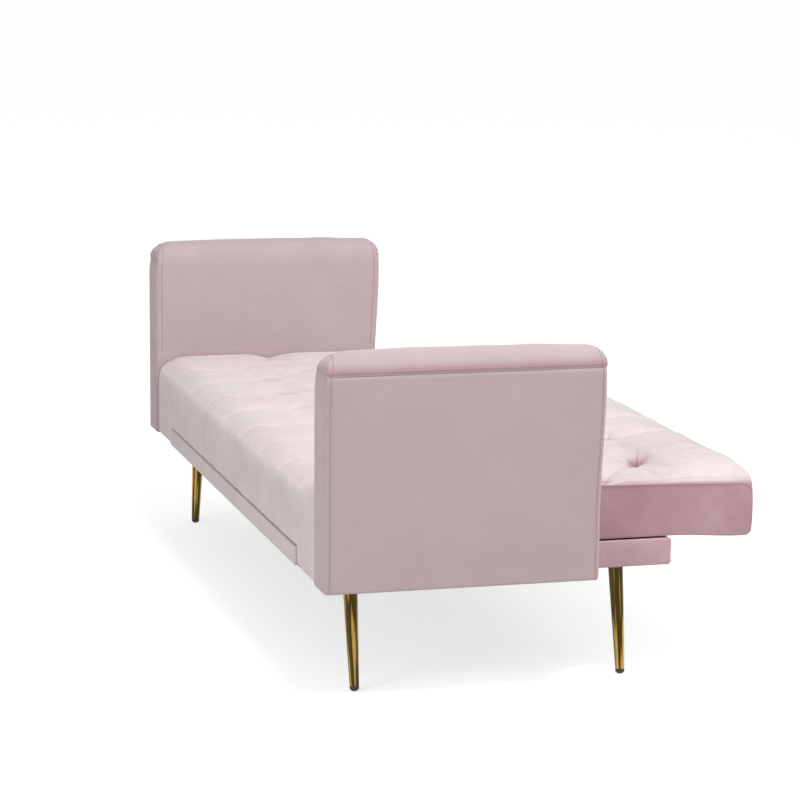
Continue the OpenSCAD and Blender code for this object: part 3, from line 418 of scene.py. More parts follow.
def makeSeat():
    v = seat
    piece = addBlock("seatCushion", v["low"], v["high"])
    half, front, rear, top = v["high"][0], v["low"][1], v["high"][1], v["high"][2]
    rollEdge(piece, front, top, v["rolls"][0], 8)
    rollEdge(piece, rear, top, v["rolls"][1], 4)
    # the front hangs down behind the strip, and lower at both ends of it
    lips = []
    for left, right, low in ((-half, half, v["bandTop"]), (-half, -v["bandHalf"], v["underside"]),
                             (v["bandHalf"], half, v["underside"])):
        lips.append(addBlock("frontLip", (left, front, low), (right, front + v["lipDepth"], v["lipTop"])))
    joinInto(piece, lips)
    voxelRemesh(piece, v["voxel"])
    tufts, lines = tuftPlan(tufting["seatRows"], True, front - 0.01, rear, half)
    edge = shapeTop(piece, v, tufts, lines)
    swellTop(piece, v, lambda y: y < front + 0.004, v["topFrom"], edge, tufts, lines)
    applyModifier(piece, "SUBSURF", levels=1, render_levels=1)
    refineNear(piece, tufts, lines, tufting["fineWidth"], 0.20)
    sewTop(piece, v, tufts, lines, 1)
    # sewn channels run on from the front pleats over the roll and down the front face
    p = points(piece)
    normal = pointNormals(piece)
    forward = ease((front + 0.060 - p[:, 1]) / 0.03) * ease((-normal[:, 1] + 0.15) / 0.3)
    channel = np.zeros(len(p))
    for x in tuftRow(True):
        away = p[:, 0] - x
        channel += (v["channel"] * np.exp(-(away / v["channelWidth"]) ** 2)
                    + v["hollow"] * np.exp(-(away / v["hollowWidth"]) ** 2))
    slack = v["frontSlack"] * ripple(p[:, 0], p[:, 2], 0.16, 4)
    p -= normal * (forward * (channel - slack))[:, None]
    clearPins(p)
    setPoints(piece, p)
    smoothShade(piece)
    return piece


seatCushion = makeSeat()
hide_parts("seat_top_panel", "seat_boxing", "seat_foam")
print("seat done,", len(seatCushion.data.polygons), "faces")


# back, which folds

back = {
    "low": (-0.816, 0.0865, 0.2855), "high": (0.816, 0.4605, 0.4395),
    "rolls": (0.012, 0.045), "bottomRoll": 0.015, "voxel": 0.006,
    "profileY": (0.0865, 0.0885, 0.0925, 0.1005, 0.1195, 0.1395, 0.1795, 0.2595, 0.3395, 0.3995,
                 0.4195, 0.4345, 0.4455, 0.4535, 0.4585, 0.4605),
    "profileZ": (0.398, 0.4045, 0.4085, 0.4117, 0.4185, 0.4255, 0.4335, 0.4390, 0.4395, 0.4385,
                 0.4365, 0.4320, 0.4250, 0.4140, 0.3970, 0.3700),
    "sideHeights": ((0.08, 0.4005), (0.23, 0.3985), (0.42, 0.3930)), "sideWidth": (0.32, 0.18),
    "sideLift": (0.14, 0.50), "sideRoll": 0.032, "creaseAt": 0.0865, "fullFrom": 0.165, "edgeDip": 0.34,
    # the tuft value on the next line sets the painted shade in the back's tuft hollows
    "swellRoom": 0.008, "lowest": 0.3865, "tuftPaintedShade": 0.74, "gathered": 1.0,
    "coneScale": 1.0, "valleyScale": 1.0,
    "uprightCap": 0.001, "topFrom": 0.380,
    "sag": 0.0078, "rearBulge": 0.0050, "endBulge": 0.0020, "endTop": 0.395,
    "lipOut": 0.0016, "lipUp": 0.0012,
}


def makeBack():
    v = back
    piece = addBlock("backCushion", v["low"], v["high"])
    half, crease, rear, top, bottom = v["high"][0], v["low"][1], v["high"][1], v["high"][2], v["low"][2]
    rollEdge(piece, rear, top, v["rolls"][1], 10)
    rollEdge(piece, crease, top, v["rolls"][0], 4)
    rollEdge(piece, rear, bottom, v["bottomRoll"], 3)
    voxelRemesh(piece, v["voxel"])
    tufts, lines = tuftPlan(tufting["backRows"], True, rear + 0.01, crease, half)
    edge = shapeTop(piece, v, tufts, lines)
    swellTop(piece, v, lambda y: y > rear - 0.004, v["topFrom"], edge, tufts, lines)
    applyModifier(piece, "SUBSURF", levels=1, render_levels=1)
    refineNear(piece, tufts, lines, tufting["fineWidth"], 0.30)
    sewTop(piece, v, tufts, lines, 3)
    p = points(piece)
    y, z = p[:, 1].copy(), p[:, 2].copy()
    # the underside hangs a little towards the rear, and the rear and end faces are softly filled
    p[:, 2] -= v["sag"] * ease((y - 0.285) / 0.16) * ease((0.385 - z) / 0.06)
    level = np.clip((z - bottom) / (v["endTop"] - bottom), 0, 1)
    belly = 4 * level * (1 - level)
    p[:, 1] += v["rearBulge"] * (0.45 + 0.55 * belly) * ease((y - rear + 0.05) / 0.05)
    outward = np.sign(p[:, 0])
    side = half - np.abs(p[:, 0])
    # the top panel rolls over a little before it is sewn to the end face
    height = sideHeight(v, y)
    rolled = np.exp(-((side - 0.001) / 0.0045) ** 2) * np.exp(-((z - height + 0.001) / 0.006) ** 2)
    rolled = rolled * ease((0.435 - y) / 0.02)
    p[:, 0] += outward * v["lipOut"] * rolled
    behind = np.exp(-((side - 0.011) / 0.003) ** 2) * ease((z - height + 0.006) / 0.004)
    p[:, 2] += v["lipUp"] * (rolled - behind)
    p[:, 0] += outward * v["endBulge"] * belly * ease((0.012 - side) / 0.010) * ease((y - crease) / 0.05)
    clearPins(p)
    setPoints(piece, p)
    smoothShade(piece)
    return piece


backCushion = makeBack()
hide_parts("back_top_panel", "back_boxing", "back_underside", "back_foam")
print("back done,", len(backCushion.data.polygons), "faces")


# arms

arm = {
    "inside": 0.821, "outside": 0.915, "front": -0.4605, "rear": 0.0995, "bottom": 0.229, "top": 0.694,
    "roll": 0.0465, "corner": 0.030, "voxel": 0.005, "seamHeight": 0.656, "seamInset": 0.0085,
    "innerInset": 0.014, "edge": 0.008, "flare": 0.0095, "spare": 0.0013, "lean": 0.004,
    "fill": 0.0045, "fillFrom": 0.440, "outerFill": 0.0028, "outerSlack": 0.0006, "rollSlack": 0.0007,
    "rollOut": 0.0020, "rollGroove": 0.0012, "endGroove": 0.0010, "innerGroove": 0.0009, "groove": 0.0035,
    "puckerAt": 0.664, "puckerHalf": 0.020, "puckerDepth": 0.0036,
}


def flareOf(z):
    return arm["flare"] * ease((z - 0.36) / 0.26)


def roundOff(a, b, radius):
    # a and b are depths into a square corner; gives where it is cut round, and the share that stays
    reach = np.hypot(a, b)
    outside = (a > 0) & (b > 0) & (reach > radius)
    return outside, np.where(outside, radius / np.maximum(reach, 1e-6), 1)


def grooveAt(distance):
    return np.exp(-(distance / arm["groove"]) ** 2)


def puckers(z):
    # the end strips are puckered only where they run in under the roll
    return np.exp(-((z - arm["puckerAt"]) / arm["puckerHalf"]) ** 2)


def puckerFolds(x, z):
    return (1 - np.abs(np.sin(x * 240 + z * 110 + 0.6 * np.sin(z * 160)))) ** 2


def makeArm(side):
    v = arm
    name = "rightArmCover" if side > 0 else "leftArmCover"
    low = (min(side * v["inside"], side * v["outside"]), v["front"], v["bottom"])
    high = (max(side * v["inside"], side * v["outside"]), v["rear"], v["top"])
    piece = addBlock(name, low, high)
    bevelEdges(piece, lambda a, b: min(a.z, b.z) > v["top"] - 0.001 and abs(a.x - b.x) < 1e-4, v["roll"], 12)
    voxelRemesh(piece, v["voxel"])
    p = points(piece)
    # front and rear top corners are rounded as seen from the side
    for edge, way in ((v["front"], 1), (v["rear"], -1)):
        a = v["corner"] - (p[:, 1] - edge) * way
        b = v["corner"] - (v["top"] - p[:, 2])
        outside, kept = roundOff(a, b, v["corner"])
        p[:, 1] = np.where(outside, edge + way * (v["corner"] - a * kept), p[:, 1])
        p[:, 2] = np.where(outside, v["top"] - (v["corner"] - b * kept), p[:, 2])
        # and the upright edges by the end strips
        across = np.abs(p[:, 0]) - v["inside"]
        for gap, inward in ((across, 1), (v["outside"] - v["inside"] - across, -1)):
            a = v["edge"] - (p[:, 1] - edge) * way
            b = v["edge"] - gap
            outside, kept = roundOff(a, b, v["edge"])
            p[:, 1] = np.where(outside, edge + way * (v["edge"] - a * kept), p[:, 1])
            p[:, 0] += np.sign(p[:, 0]) * inward * b * (1 - kept)
    setPoints(piece, p)
    applyModifier(piece, "SMOOTH", factor=0.5, iterations=2)
    p = points(piece)
    y, z = p[:, 1].copy(), p[:, 2].copy()
    depth = np.clip((y - v["front"]) / (v["rear"] - v["front"]), 0, 1)
    p[:, 1] += flareOf(z) * depth ** 3
    p[:, 1] += v["lean"] * ease((z - 0.62) / 0.06) * (1 - depth) ** 6
    crest = np.interp(depth, (0, 0.07, 0.3, 0.75, 0.95, 1), (-0.006, 0.003, 0.006, 0.004, 0.000, -0.002))
    p[:, 2] += crest * ease((z - 0.60) / 0.09)
    setPoints(piece, p)
    applyModifier(piece, "SUBSURF", levels=1, render_levels=1)
    p = points(piece)
    normal = pointNormals(piece)
    x, y, z = p[:, 0] * side, p[:, 1].copy(), p[:, 2].copy()
    outward = normal[:, 0] * side
    fromFront = y - v["front"]
    fromEnd = np.minimum(fromFront, v["rear"] + flareOf(z) - y)
    outer = ease((outward - 0.5) / 0.4)
    inner = ease((-outward - 0.5) / 0.4)
    # a little proud everywhere but on the inside, where the cushions sit against it
    push = v["spare"] * ease((outward + 0.75) / 0.3)
    # the roll stands out over the flat outer panel, and every seam lies in a groove
    push += v["rollOut"] * ease((z - v["seamHeight"]) / 0.007) * ease((outward + 0.2) / 0.5)
    push -= outer * v["rollGroove"] * grooveAt(z - v["seamHeight"])
    below = ease((v["seamHeight"] + 0.004 - z) / 0.006)
    push -= outer * below * v["endGroove"] * grooveAt(fromEnd - v["seamInset"])
    push -= inner * v["innerGroove"] * grooveAt(fromEnd - v["innerInset"]) * ease((0.676 - z) / 0.02)
    # padding: the panels are a little fuller in the middle
    fuller = ease(fromEnd / 0.12) * ease((z - v["bottom"]) / 0.10) * ease((v["seamHeight"] - z) / 0.08)
    push += outer * fuller * (v["outerFill"] + v["outerSlack"] * ripple(y, z, 0.21, 6))
    # and the inner panel fills out above the seat
    filled = np.clip((z - v["fillFrom"]) / (v["seamHeight"] - v["fillFrom"]), 0, 1)
    push += inner * v["fill"] * 4 * filled * (1 - filled) * ease(fromFront / 0.06) * ease(-y / 0.10)
    onStrip = ease((0.026 - fromEnd) / 0.018) * ease((np.abs(normal[:, 1]) - 0.1) / 0.4)
    push -= puckers(z) * onStrip * v["puckerDepth"] * puckerFolds(x, z)
    onRoll = ease((z - v["seamHeight"]) / 0.02) * ease((outward + 0.6) / 0.4)
    push += v["rollSlack"] * ripple(y, x * 2, 0.11, 8) * onRoll
    p += normal * push[:, None]
    setPoints(piece, p)
    smoothShade(piece)
    return piece


rightArmCover = makeArm(1)
leftArmCover = makeArm(-1)
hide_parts("right_arm_outer_panel", "right_arm_inner_panel", "arm_boxing", "right_arm_padding")
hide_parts("left_arm_outer_panel", "left_arm_inner_panel", "left_arm_padding")
print("arms done,", len(rightArmCover.data.polygons), "faces each")


# base wrap and front strip

baseWrap = {
    "half": 0.8208, "front": -0.4525, "rear": 0.2862, "low": 0.2284, "high": 0.2836,
    "rim": 0.006, "rearRound": 0.0085, "sideRound": 0.0035, "wall": 0.0013,
}


def makeBaseWrap():
    v = baseWrap
    piece = addBlock("baseWrap", (-v["half"], v["front"], v["low"]), (v["half"], v["rear"], v["high"]))
    bevelEdges(piece, lambda a, b: min(a.y, b.y) > v["rear"] - 0.001
               and abs(a.x - b.x) > 0.1, v["rearRound"], 6)
    bevelEdges(piece, lambda a, b: min(abs(a.x), abs(b.x)) > v["half"] - 0.0005
               and max(a.y, b.y) > v["front"] + 0.01, v["sideRound"], 3)
    # the cloth ends on the frame, above and below
    selectIn(piece, "FACE", lambda face: abs(face.normal.z) > 0.999)
    bpy.ops.mesh.inset(thickness=v["rim"], depth=0)
    bpy.ops.mesh.delete(type="FACE")
    bpy.ops.object.mode_set(mode="OBJECT")
    applyModifier(piece, "SOLIDIFY", thickness=v["wall"], offset=-1)
    bpy.ops.object.shade_smooth_by_angle(angle=math.radians(50))
    return piece


baseWrapPiece = makeBaseWrap()
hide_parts("base_cover")

strip = {
    "half": 0.655, "front": -0.4597, "rear": -0.4527, "low": 0.2292, "high": 0.267, "edge": 0.0022,
}


def makeStrip():
    v = strip
    piece = addBlock("frontStrip", (-v["half"], v["front"], v["low"]), (v["half"], v["rear"], v["high"]))
    bevelEdges(piece, lambda a, b: True, v["edge"], 4)
    applyModifier(piece, "BEVEL", width=0.0004, segments=1, limit_method="ANGLE")
    bpy.ops.object.shade_smooth_by_angle(angle=math.radians(40))
    return piece


frontStrip = makeStrip()
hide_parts("front_band_cover")
print("base wrap and strip done")


# seams and sewn stitches, laid on the covers

stitch = {"length": 0.0036, "pitch": 0.0056, "thickness": 0.0013, "sink": 0.0003}
seamLine = {"radius": 0.0008, "sink": 0.0003, "sides": 6, "step": 0.004}


def castOn(piece, starts, ways, reach=0.09):
    # drops points onto a piece from outside; gives where they land and the outward direction there
    landed = []
    for start, way in zip(starts, ways):
        hit, place, normal, index = piece.ray_cast(Vector(start), Vector(way), distance=reach)
        if hit:
            landed.append((np.array(place), np.array(normal)))
    return landed


def evenly(route, step, half=False):
    # points at an even step along a route, each with its outward, forward and sideways direction
    places = np.array([r[0] for r in route])
    outs = np.array([r[1] for r in route])
    run = np.concatenate(([0], np.cumsum(np.linalg.norm(np.diff(places, axis=0), axis=1))))
    if half:
        steps = np.arange(step / 2, run[-1], step)
    else:
        steps = np.linspace(0, run[-1], max(int(run[-1] / step), 2))

    def at(s, source):
        return np.array([np.interp(s, run, source[:, k]) for k in range(3)])
    found = []
    for s in steps:
        here, out = at(s, places), at(s, outs)
        ahead, behind = at(min(s + 0.002, run[-1]), places), at(max(s - 0.002, 0), places)
        out /= max(np.linalg.norm(out), 1e-9)
        along = ahead - behind
        along -= out * along.dot(out)
        along /= max(np.linalg.norm(along), 1e-9)
        found.append((here, out, along, np.cross(along, out)))
    return found


def meshPiece(name, verts, polys):
    mesh = bpy.data.meshes.new(name)
    mesh.from_pydata([tuple(v) for v in verts], [], polys)
    mesh.update()
    piece = bpy.data.objects.new(name, mesh)
    bpy.context.scene.collection.objects.link(piece)
    smoothShade(piece)
    return piece


def stitchRow(name, routes):
    # one stitch is modelled and copied along every route
    deselectAll()
    bpy.ops.mesh.primitive_uv_sphere_add(segments=6, ring_count=4, radius=0.5, location=(0, 0, 0))
    one = bpy.context.active_object
    one.scale = (stitch["thickness"], stitch["thickness"], stitch["length"])
    bpy.ops.object.transform_apply(location=False, rotation=False, scale=True)
    shape = points(one)
    faces = [tuple(face.vertices) for face in one.data.polygons]
    verts, polys = [], []
    for route in routes:
        for here, out, along, across in evenly(route, stitch["pitch"], True):
            first = len(verts)
            for a, b, c in shape:
                verts.append(here - out * stitch["sink"] + across * a + out * b + along * c)
            polys.extend(tuple(first + i for i in face) for face in faces)
    bpy.data.objects.remove(one)
    return meshPiece(name, verts, polys)


def seamCord(name, routes):
    # a thin sewn edge, swept along every route and closed at its ends
    verts, polys = [], []
    sides = seamLine["sides"]
    for route in routes:
        first = len(verts)
        stations = evenly(route, seamLine["step"])
        for here, out, along, across in stations:
            for k in range(sides):
                turn = 2 * math.pi * k / sides
                verts.append(here - out * seamLine["sink"]
                             + (across * math.cos(turn) + out * math.sin(turn)) * seamLine["radius"])
        for n in range(len(stations) - 1):
            for k in range(sides):
                a, b = first + n * sides + k, first + n * sides + (k + 1) % sides
                polys.append((a, b, b + sides, a + sides))
        polys.append(tuple(first + k for k in reversed(range(sides))))
        polys.append(tuple(first + (len(stations) - 1) * sides + k for k in range(sides)))
    return meshPiece(name, verts, polys)


def endSeamRoute(piece, side, way, shift=0.0):
    # up the outer panel beside one end, over the roll and down the inner face
    v = arm
    middle = (v["inside"] + v["outside"]) / 2
    centre = v["top"] - v["roll"]
    starts, ways = [], []

    def y(z, share):
        inset = v["seamInset"] + shift + (v["innerInset"] - v["seamInset"]) * share
        over = 0.005 * math.sin(math.pi * share)
        drift = float(flareOf(z)) if way < 0 else float(v["lean"] * ease((z - 0.62) / 0.06))
        return (v["front"] if way > 0 else v["rear"]) + way * (inset + over) + drift
    for z in np.linspace(v["bottom"] + 0.003, centre, 70):
        starts.append((side * (v["outside"] + 0.05), y(z, 0), z))
        ways.append((-side, 0, 0))
    for turn in np.linspace(0, math.pi, 60)[1:-1]:
        across, up = math.cos(turn), math.sin(turn)
        along = y(centre + 0.04 * up, turn / math.pi)
        starts.append((side * (middle + 0.10 * across), along, centre + 0.10 * up))
        ways.append((-side * across, 0, -up))
    for z in np.linspace(centre, 0.434, 40):
        starts.append((side * (v["inside"] - 0.05), y(z, 1), z))
        ways.append((side, 0, 0))
    return castOn(piece, starts, ways)


def rollSeamRoute(piece, side, lift):
    v = arm
    first, last = v["front"] + v["seamInset"] + 0.002, v["rear"] + v["flare"] - v["seamInset"] - 0.002
    starts = []
    for y in np.linspace(first, last, 130):
        dip = 0.002 * math.exp(-(y - v["front"]) / 0.02)
        starts.append((side * (v["outside"] + 0.05), y, v["seamHeight"] + lift - dip))
    return castOn(piece, starts, [(-side, 0, 0)] * len(starts))


def sewArm(piece, side, name):
    ends = [endSeamRoute(piece, side, way) for way in (1, -1)]
    beside = [endSeamRoute(piece, side, way, 0.0032)[:68] for way in (1, -1)]
    over = [rollSeamRoute(piece, side, lift) for lift in (0.0, 0.0062, 0.0112)]
    return seamCord(name + "Seams", ends + over[:1]), stitchRow(name + "Stitches", beside + over[1:])


rightArmSeams, rightArmStitches = sewArm(rightArmCover, 1, "rightArm")
leftArmSeams, leftArmStitches = sewArm(leftArmCover, -1, "leftArm")


def backEndRoute(piece, side, inset):
    # along the top of an end face, round its rear corner and down its rear edge
    v = back
    starts = []
    corner = 0.026
    rear = v["high"][1] + 0.0015
    for y in np.linspace(v["low"][1] + 0.006, rear - corner - inset, 90):
        crown = float(np.interp(y, v["profileY"], v["profileZ"]))
        starts.append((y, min(crown, float(sideHeight(v, y))) - 0.0022 - inset))
    z0 = starts[-1][1]
    for turn in np.linspace(0, math.pi / 2, 16)[1:]:
        starts.append((rear - inset - corner * (1 - math.sin(turn)), z0 - corner * (1 - math.cos(turn))))
    for z in np.linspace(z0 - corner, v["low"][2] - v["sag"] + 0.012, 24)[1:]:
        starts.append((rear - inset, z))
    places = [(side * (v["high"][0] + 0.05), y, z) for y, z in starts]
    return castOn(piece, places, [(-side, 0, 0)] * len(places))


def backTopRoute(piece, side, inset):
    # on the top panel just inside the seam, and down the rear face
    v = back
    starts, ways = [], []
    x = side * (v["high"][0] - inset)
    for y in np.linspace(v["low"][1] + 0.006, v["high"][1] - 0.030, 90):
        starts.append((x, y, v["high"][2] + 0.05))
        ways.append((0, 0, -1))
    for turn in np.linspace(0, math.pi / 2, 14)[1:-1]:
        middle = (v["high"][1] - 0.030, 0.368)
        starts.append((x, middle[0] + 0.09 * math.sin(turn), middle[1] + 0.09 * math.cos(turn)))
        ways.append((0, -math.sin(turn), -math.cos(turn)))
    for z in np.linspace(0.368, v["low"][2] + 0.002, 20):
        starts.append((x, v["high"][1] + 0.05, z))
        ways.append((0, -1, 0))
    return castOn(piece, starts, ways, 0.12)


backSeams = seamCord("backSeams", [backEndRoute(backCushion, side, 0.0020) for side in (-1, 1)])
backStitches = stitchRow("backStitches", [backTopRoute(backCushion, side, 0.0070) for side in (-1, 1)])
print("seams and stitches done")


# shared effects

def newGroup(name, inputs, outputs):
    tree = bpy.data.node_groups.new(name, "ShaderNodeTree")
    for socketName, kind, value in inputs:
        socket = tree.interface.new_socket(socketName, in_out="INPUT", socket_type=kind)
        if value is not None:
            socket.default_value = value
    for socketName, kind in outputs:
        tree.interface.new_socket(socketName, in_out="OUTPUT", socket_type=kind)
    return tree, tree.nodes.new("NodeGroupInput"), tree.nodes.new("NodeGroupOutput")


def connect(tree, node, inputs):
    # a number or a colour is set on its socket, anything else is linked to it
    for socket, value in inputs.items():
        if isinstance(value, (int, float, tuple)):
            node.inputs[socket].default_value = value
        else:
            tree.links.new(value, node.inputs[socket])


def addNode(tree, kind, inputs, **settings):
    node = tree.nodes.new(kind)
    for name, value in settings.items():
        setattr(node, name, value)
    connect(tree, node, inputs)
    return node


def noise(tree, vector, scale, detail=2.0, rough=0.5, distort=0.0):
    return addNode(tree, "ShaderNodeTexNoise", {
        "Vector": vector, "Scale": scale, "Detail": detail, "Roughness": rough,
        "Distortion": distort}).outputs["Fac"]


def mapRange(tree, value, low, high, toLow=0.0, toHigh=1.0):
    return addNode(tree, "ShaderNodeMapRange", {
        "Value": value, "From Min": low, "From Max": high, "To Min": toLow, "To Max": toHigh},
        interpolation_type="SMOOTHSTEP").outputs["Result"]


def maths(tree, operation, *numbers):
    return addNode(tree, "ShaderNodeMath", dict(enumerate(numbers)), operation=operation).outputs[0]


def mixColour(tree, factor, a, b):
    return addNode(tree, "ShaderNodeMix", {0: factor, 6: a, 7: b}, data_type="RGBA").outputs[2]


def mixValue(tree, factor, a, b):
    return addNode(tree, "ShaderNodeMix", {0: factor, 2: a, 3: b}, data_type="FLOAT").outputs[0]


def bump(tree, height, strength, distance, normal=None):
    inputs = {"Strength": strength, "Distance": distance, "Height": height}
    if normal is not None:
        inputs["Normal"] = normal
    return addNode(tree, "ShaderNodeBump", inputs).outputs["Normal"]


def stretched(tree, vector, *scale):
    return addNode(tree, "ShaderNodeMapping", {"Vector": vector, "Scale": scale}).outputs["Vector"]


def objectPlace(tree):
    return tree.nodes.new("ShaderNodeTexCoord").outputs["Object"]


def srgb(r, g, b):
    def part(c):
        c /= 255
        return c / 12.92 if c <= 0.04045 else ((c + 0.055) / 1.055) ** 2.4
    return (part(r), part(g), part(b), 1.0)


def makePileGroup():
    # velvet: patches where the pile leans another way, soft streaks and the grain of the pile
    tree, given, result = newGroup("velvetPile", [
        ("Colour", "NodeSocketColor", None), ("Shade", "NodeSocketColor", None),
        ("Shade And End Colour", "NodeSocketColor", None), ("Patches", "NodeSocketFloat", 0.5),
        ("Fold", "NodeSocketFloat", 0.0), ("Pucker", "NodeSocketFloat", 0.0)],
        [("Colour", "NodeSocketColor"), ("Roughness", "NodeSocketFloat"), ("Normal", "NodeSocketVector")])
    place = objectPlace(tree)
    broad = mapRange(tree, noise(tree, place, 5.5, 3.0, 0.55, 0.6), 0.34, 0.66)
    streaks = noise(tree, stretched(tree, place, 1.0, 0.6, 1.0), 24.0, 4.0, 0.6, 1.0)
    brushed = mapRange(tree, streaks, 0.32, 0.68)
    grain = noise(tree, place, 950.0, 2.0, 0.6)
    specks = mapRange(tree, grain, 0.35, 0.65)
    blendIn = maths(tree, "ADD", maths(tree, "MULTIPLY", broad, 0.55), maths(tree, "MULTIPLY", brushed, 0.45))
    amount = maths(tree, "MULTIPLY", blendIn, given.outputs["Patches"])
    base = mixColour(tree, amount, given.outputs["Colour"], given.outputs["Shade"])
    # painted shade: the Fold mark mixes in a deeper pink in the tuft hollows, along the pleats, under the arm
    # roll and in the pucker creases; on the cushion ends it is the end panels' pinker tone
    fold = mapRange(tree, given.outputs["Fold"], 0.0, 1.0)
    base = mixColour(tree, fold, base, given.outputs["Shade And End Colour"])
    base = mixColour(tree, maths(tree, "MULTIPLY", specks, 0.10), base, (0.35, 0.25, 0.25, 1.0))
    rough = mapRange(tree, blendIn, 0.2, 0.8, 0.74, 0.92)
    uneven = bump(tree, noise(tree, place, 70.0, 3.0, 0.55, 0.4), 0.35, 0.0012)
    # small gathers where the cloth is pulled in by a seam
    gathers = noise(tree, stretched(tree, place, 1.0, 1.0, 0.45), 260.0, 2.0, 0.5, 0.8)
    pulled = bump(tree, maths(tree, "MULTIPLY", gathers, given.outputs["Pucker"]), 0.9, 0.0022, uneven)
    normal = bump(tree, grain, 0.30, 0.0004, pulled)
    tree.links.new(base, result.inputs["Colour"])
    tree.links.new(rough, result.inputs["Roughness"])
    tree.links.new(normal, result.inputs["Normal"])
    return tree


pileGroup = makePileGroup()


def newMaterial(name):
    material = bpy.data.materials.new(name)
    material.use_nodes = True
    tree = material.node_tree
    return material, tree, tree.nodes["Principled BSDF"]


def velvet(name, colours, patches, sheen, sheenRoughness, marked):
    # marked velvet reads the painted shade and the end panels' pinker tone (the fold mark) and the puckers
    # that were kept on its mesh
    material, tree, shader = newMaterial(name)
    inputs = {"Patches": patches}
    for socket, colour in zip(("Colour", "Shade", "Shade And End Colour"), colours):
        inputs[socket] = srgb(*colour)
    if marked:
        for socket, attribute in (("Fold", "fold"), ("Pucker", "pucker")):
            inputs[socket] = addNode(tree, "ShaderNodeAttribute", {}, attribute_name=attribute).outputs["Fac"]
    pile = addNode(tree, "ShaderNodeGroup", inputs, node_tree=pileGroup)
    connect(tree, shader, {
        "Base Color": pile.outputs["Colour"], "Normal": pile.outputs["Normal"],
        "Roughness": pile.outputs["Roughness"], "Specular IOR Level": 0.20, "Sheen Weight": sheen,
        "Sheen Roughness": sheenRoughness, "Sheen Tint": srgb(255, 248, 247)})
    return material


pileColours = {
    "cushion": ((220, 208, 207), (206, 191, 191), (172, 121, 133)),
    "arm": ((187, 169, 170), (178, 158, 160), (160, 114, 121)),
    "base": ((199, 167, 173), (186, 151, 158), (150, 112, 118)),
    "strip": ((212, 200, 200), (204, 188, 188), (176, 134, 138)),
}
cushionVelvet = velvet("cushionVelvet", pileColours["cushion"], 0.70, 0.95, 0.30, True)
armVelvet = velvet("armVelvet", pileColours["arm"], 0.40, 0.45, 0.38, True)
baseVelvet = velvet("baseVelvet", pileColours["base"], 0.8, 0.3, 0.4, False)
stripVelvet = velvet("stripVelvet", pileColours["strip"], 0.6, 0.55, 0.4, False)


def makeThread():
    material, tree, shader = newMaterial("sewingThread")
    twist = mapRange(tree, noise(tree, objectPlace(tree), 1400.0, 1.0), 0.4, 0.6)
    colour = mixColour(tree, twist, srgb(148, 104, 110), srgb(174, 132, 136))
    connect(tree, shader, {"Base Color": colour, "Normal": bump(tree, twist, 0.4, 0.0002), "Roughness": 0.6})
    return material


def makeWood():
    material, tree, shader = newMaterial("frameWood")
    place = objectPlace(tree)
    rings = noise(tree, stretched(tree, place, 1.2, 9.0, 30.0), 3.2, 6.0, 0.6, 0.8)
    fibre = noise(tree, stretched(tree, place, 6.0, 160.0, 160.0), 3.0, 3.0, 0.6)
    colour = mixColour(tree, mapRange(tree, rings, 0.35, 0.65), srgb(206, 172, 122), srgb(172, 132, 84))
    pores = maths(tree, "MULTIPLY", mapRange(tree, fibre, 0.45, 0.7), 0.4)
    connect(tree, shader, {
        "Base Color": mixColour(tree, pores, colour, srgb(140, 100, 60)),
        "Normal": bump(tree, fibre, 0.3, 0.0006), "Roughness": mapRange(tree, rings, 0.3, 0.7, 0.55, 0.75)})
    return material


def makeBrass():
    # polished tube: painted reflections, light and dark lengthwise bands that lie along each splayed leg
    material, tree, shader = newMaterial("polishedBrass")
    apart = addNode(tree, "ShaderNodeSeparateXYZ", {"Vector": objectPlace(tree)}).outputs
    along = maths(tree, "MULTIPLY", apart["Z"], math.tan(math.radians(11)))
    tube = addNode(tree, "ShaderNodeCombineXYZ", {
        "X": maths(tree, "ADD", maths(tree, "ABSOLUTE", apart["X"]), along), "Y": apart["Y"],
        "Z": maths(tree, "MULTIPLY", apart["Z"], 0.012)}).outputs["Vector"]
    reflectionBands = noise(tree, tube, 150.0, 1.0, 0.4)
    fine = noise(tree, tube, 700.0, 2.0, 0.5)
    # painted reflections: dark bands with light highlight streaks, and finer dark reflection lines over them
    colour = mixColour(tree, mapRange(tree, reflectionBands, 0.50, 0.60), srgb(72, 60, 29), srgb(188, 151, 82))
    lines = maths(tree, "MULTIPLY", mapRange(tree, fine, 0.5, 0.7), 0.5)
    connect(tree, shader, {
        "Base Color": mixColour(tree, lines, colour, srgb(48, 37, 14)), "Metallic": 1.0,
        "Normal": bump(tree, reflectionBands, 0.12, 0.0004), "Roughness": mapRange(tree, fine, 0.3, 0.7, 0.07, 0.16)})
    return material


# two colours, the noise, where it blends them, the roughness, the relief and the metallic value
grains = {
    "zincSteel": ((168, 168, 164), (130, 131, 130), (90.0, 4.0, 0.6, 0.3), (0.35, 0.68),
                  (0.30, 0.48), (0.15, 0.0001), 1.0),
    "springSteel": ((120, 116, 110), (86, 82, 78), (160.0, 4.0, 0.6, 0.3), (0.35, 0.68),
                    (0.34, 0.55), (0.15, 0.0001), 1.0),
    "seatFoam": ((214, 204, 166), (236, 228, 198), (420.0, 3.0, 0.7), (0.3, 0.7), 0.95, (0.8, 0.001), 0.0),
    "springFelt": ((128, 126, 122), (170, 166, 158), (260.0, 5.0, 0.75, 1.5), (0.35, 0.65),
                   0.93, (0.6, 0.0009), 0.0),
    "dustCloth": ((24, 24, 25), (44, 44, 46), (520.0, 5.0, 0.75, 1.5), (0.35, 0.65),
                  0.93, (0.6, 0.0004), 0.0),
    "blackTip": ((22, 21, 21), (40, 38, 37), (300.0, 4.0, 0.7), (0.4, 0.7), (0.35, 0.6), (0.2, 0.0002), 0.0),
}


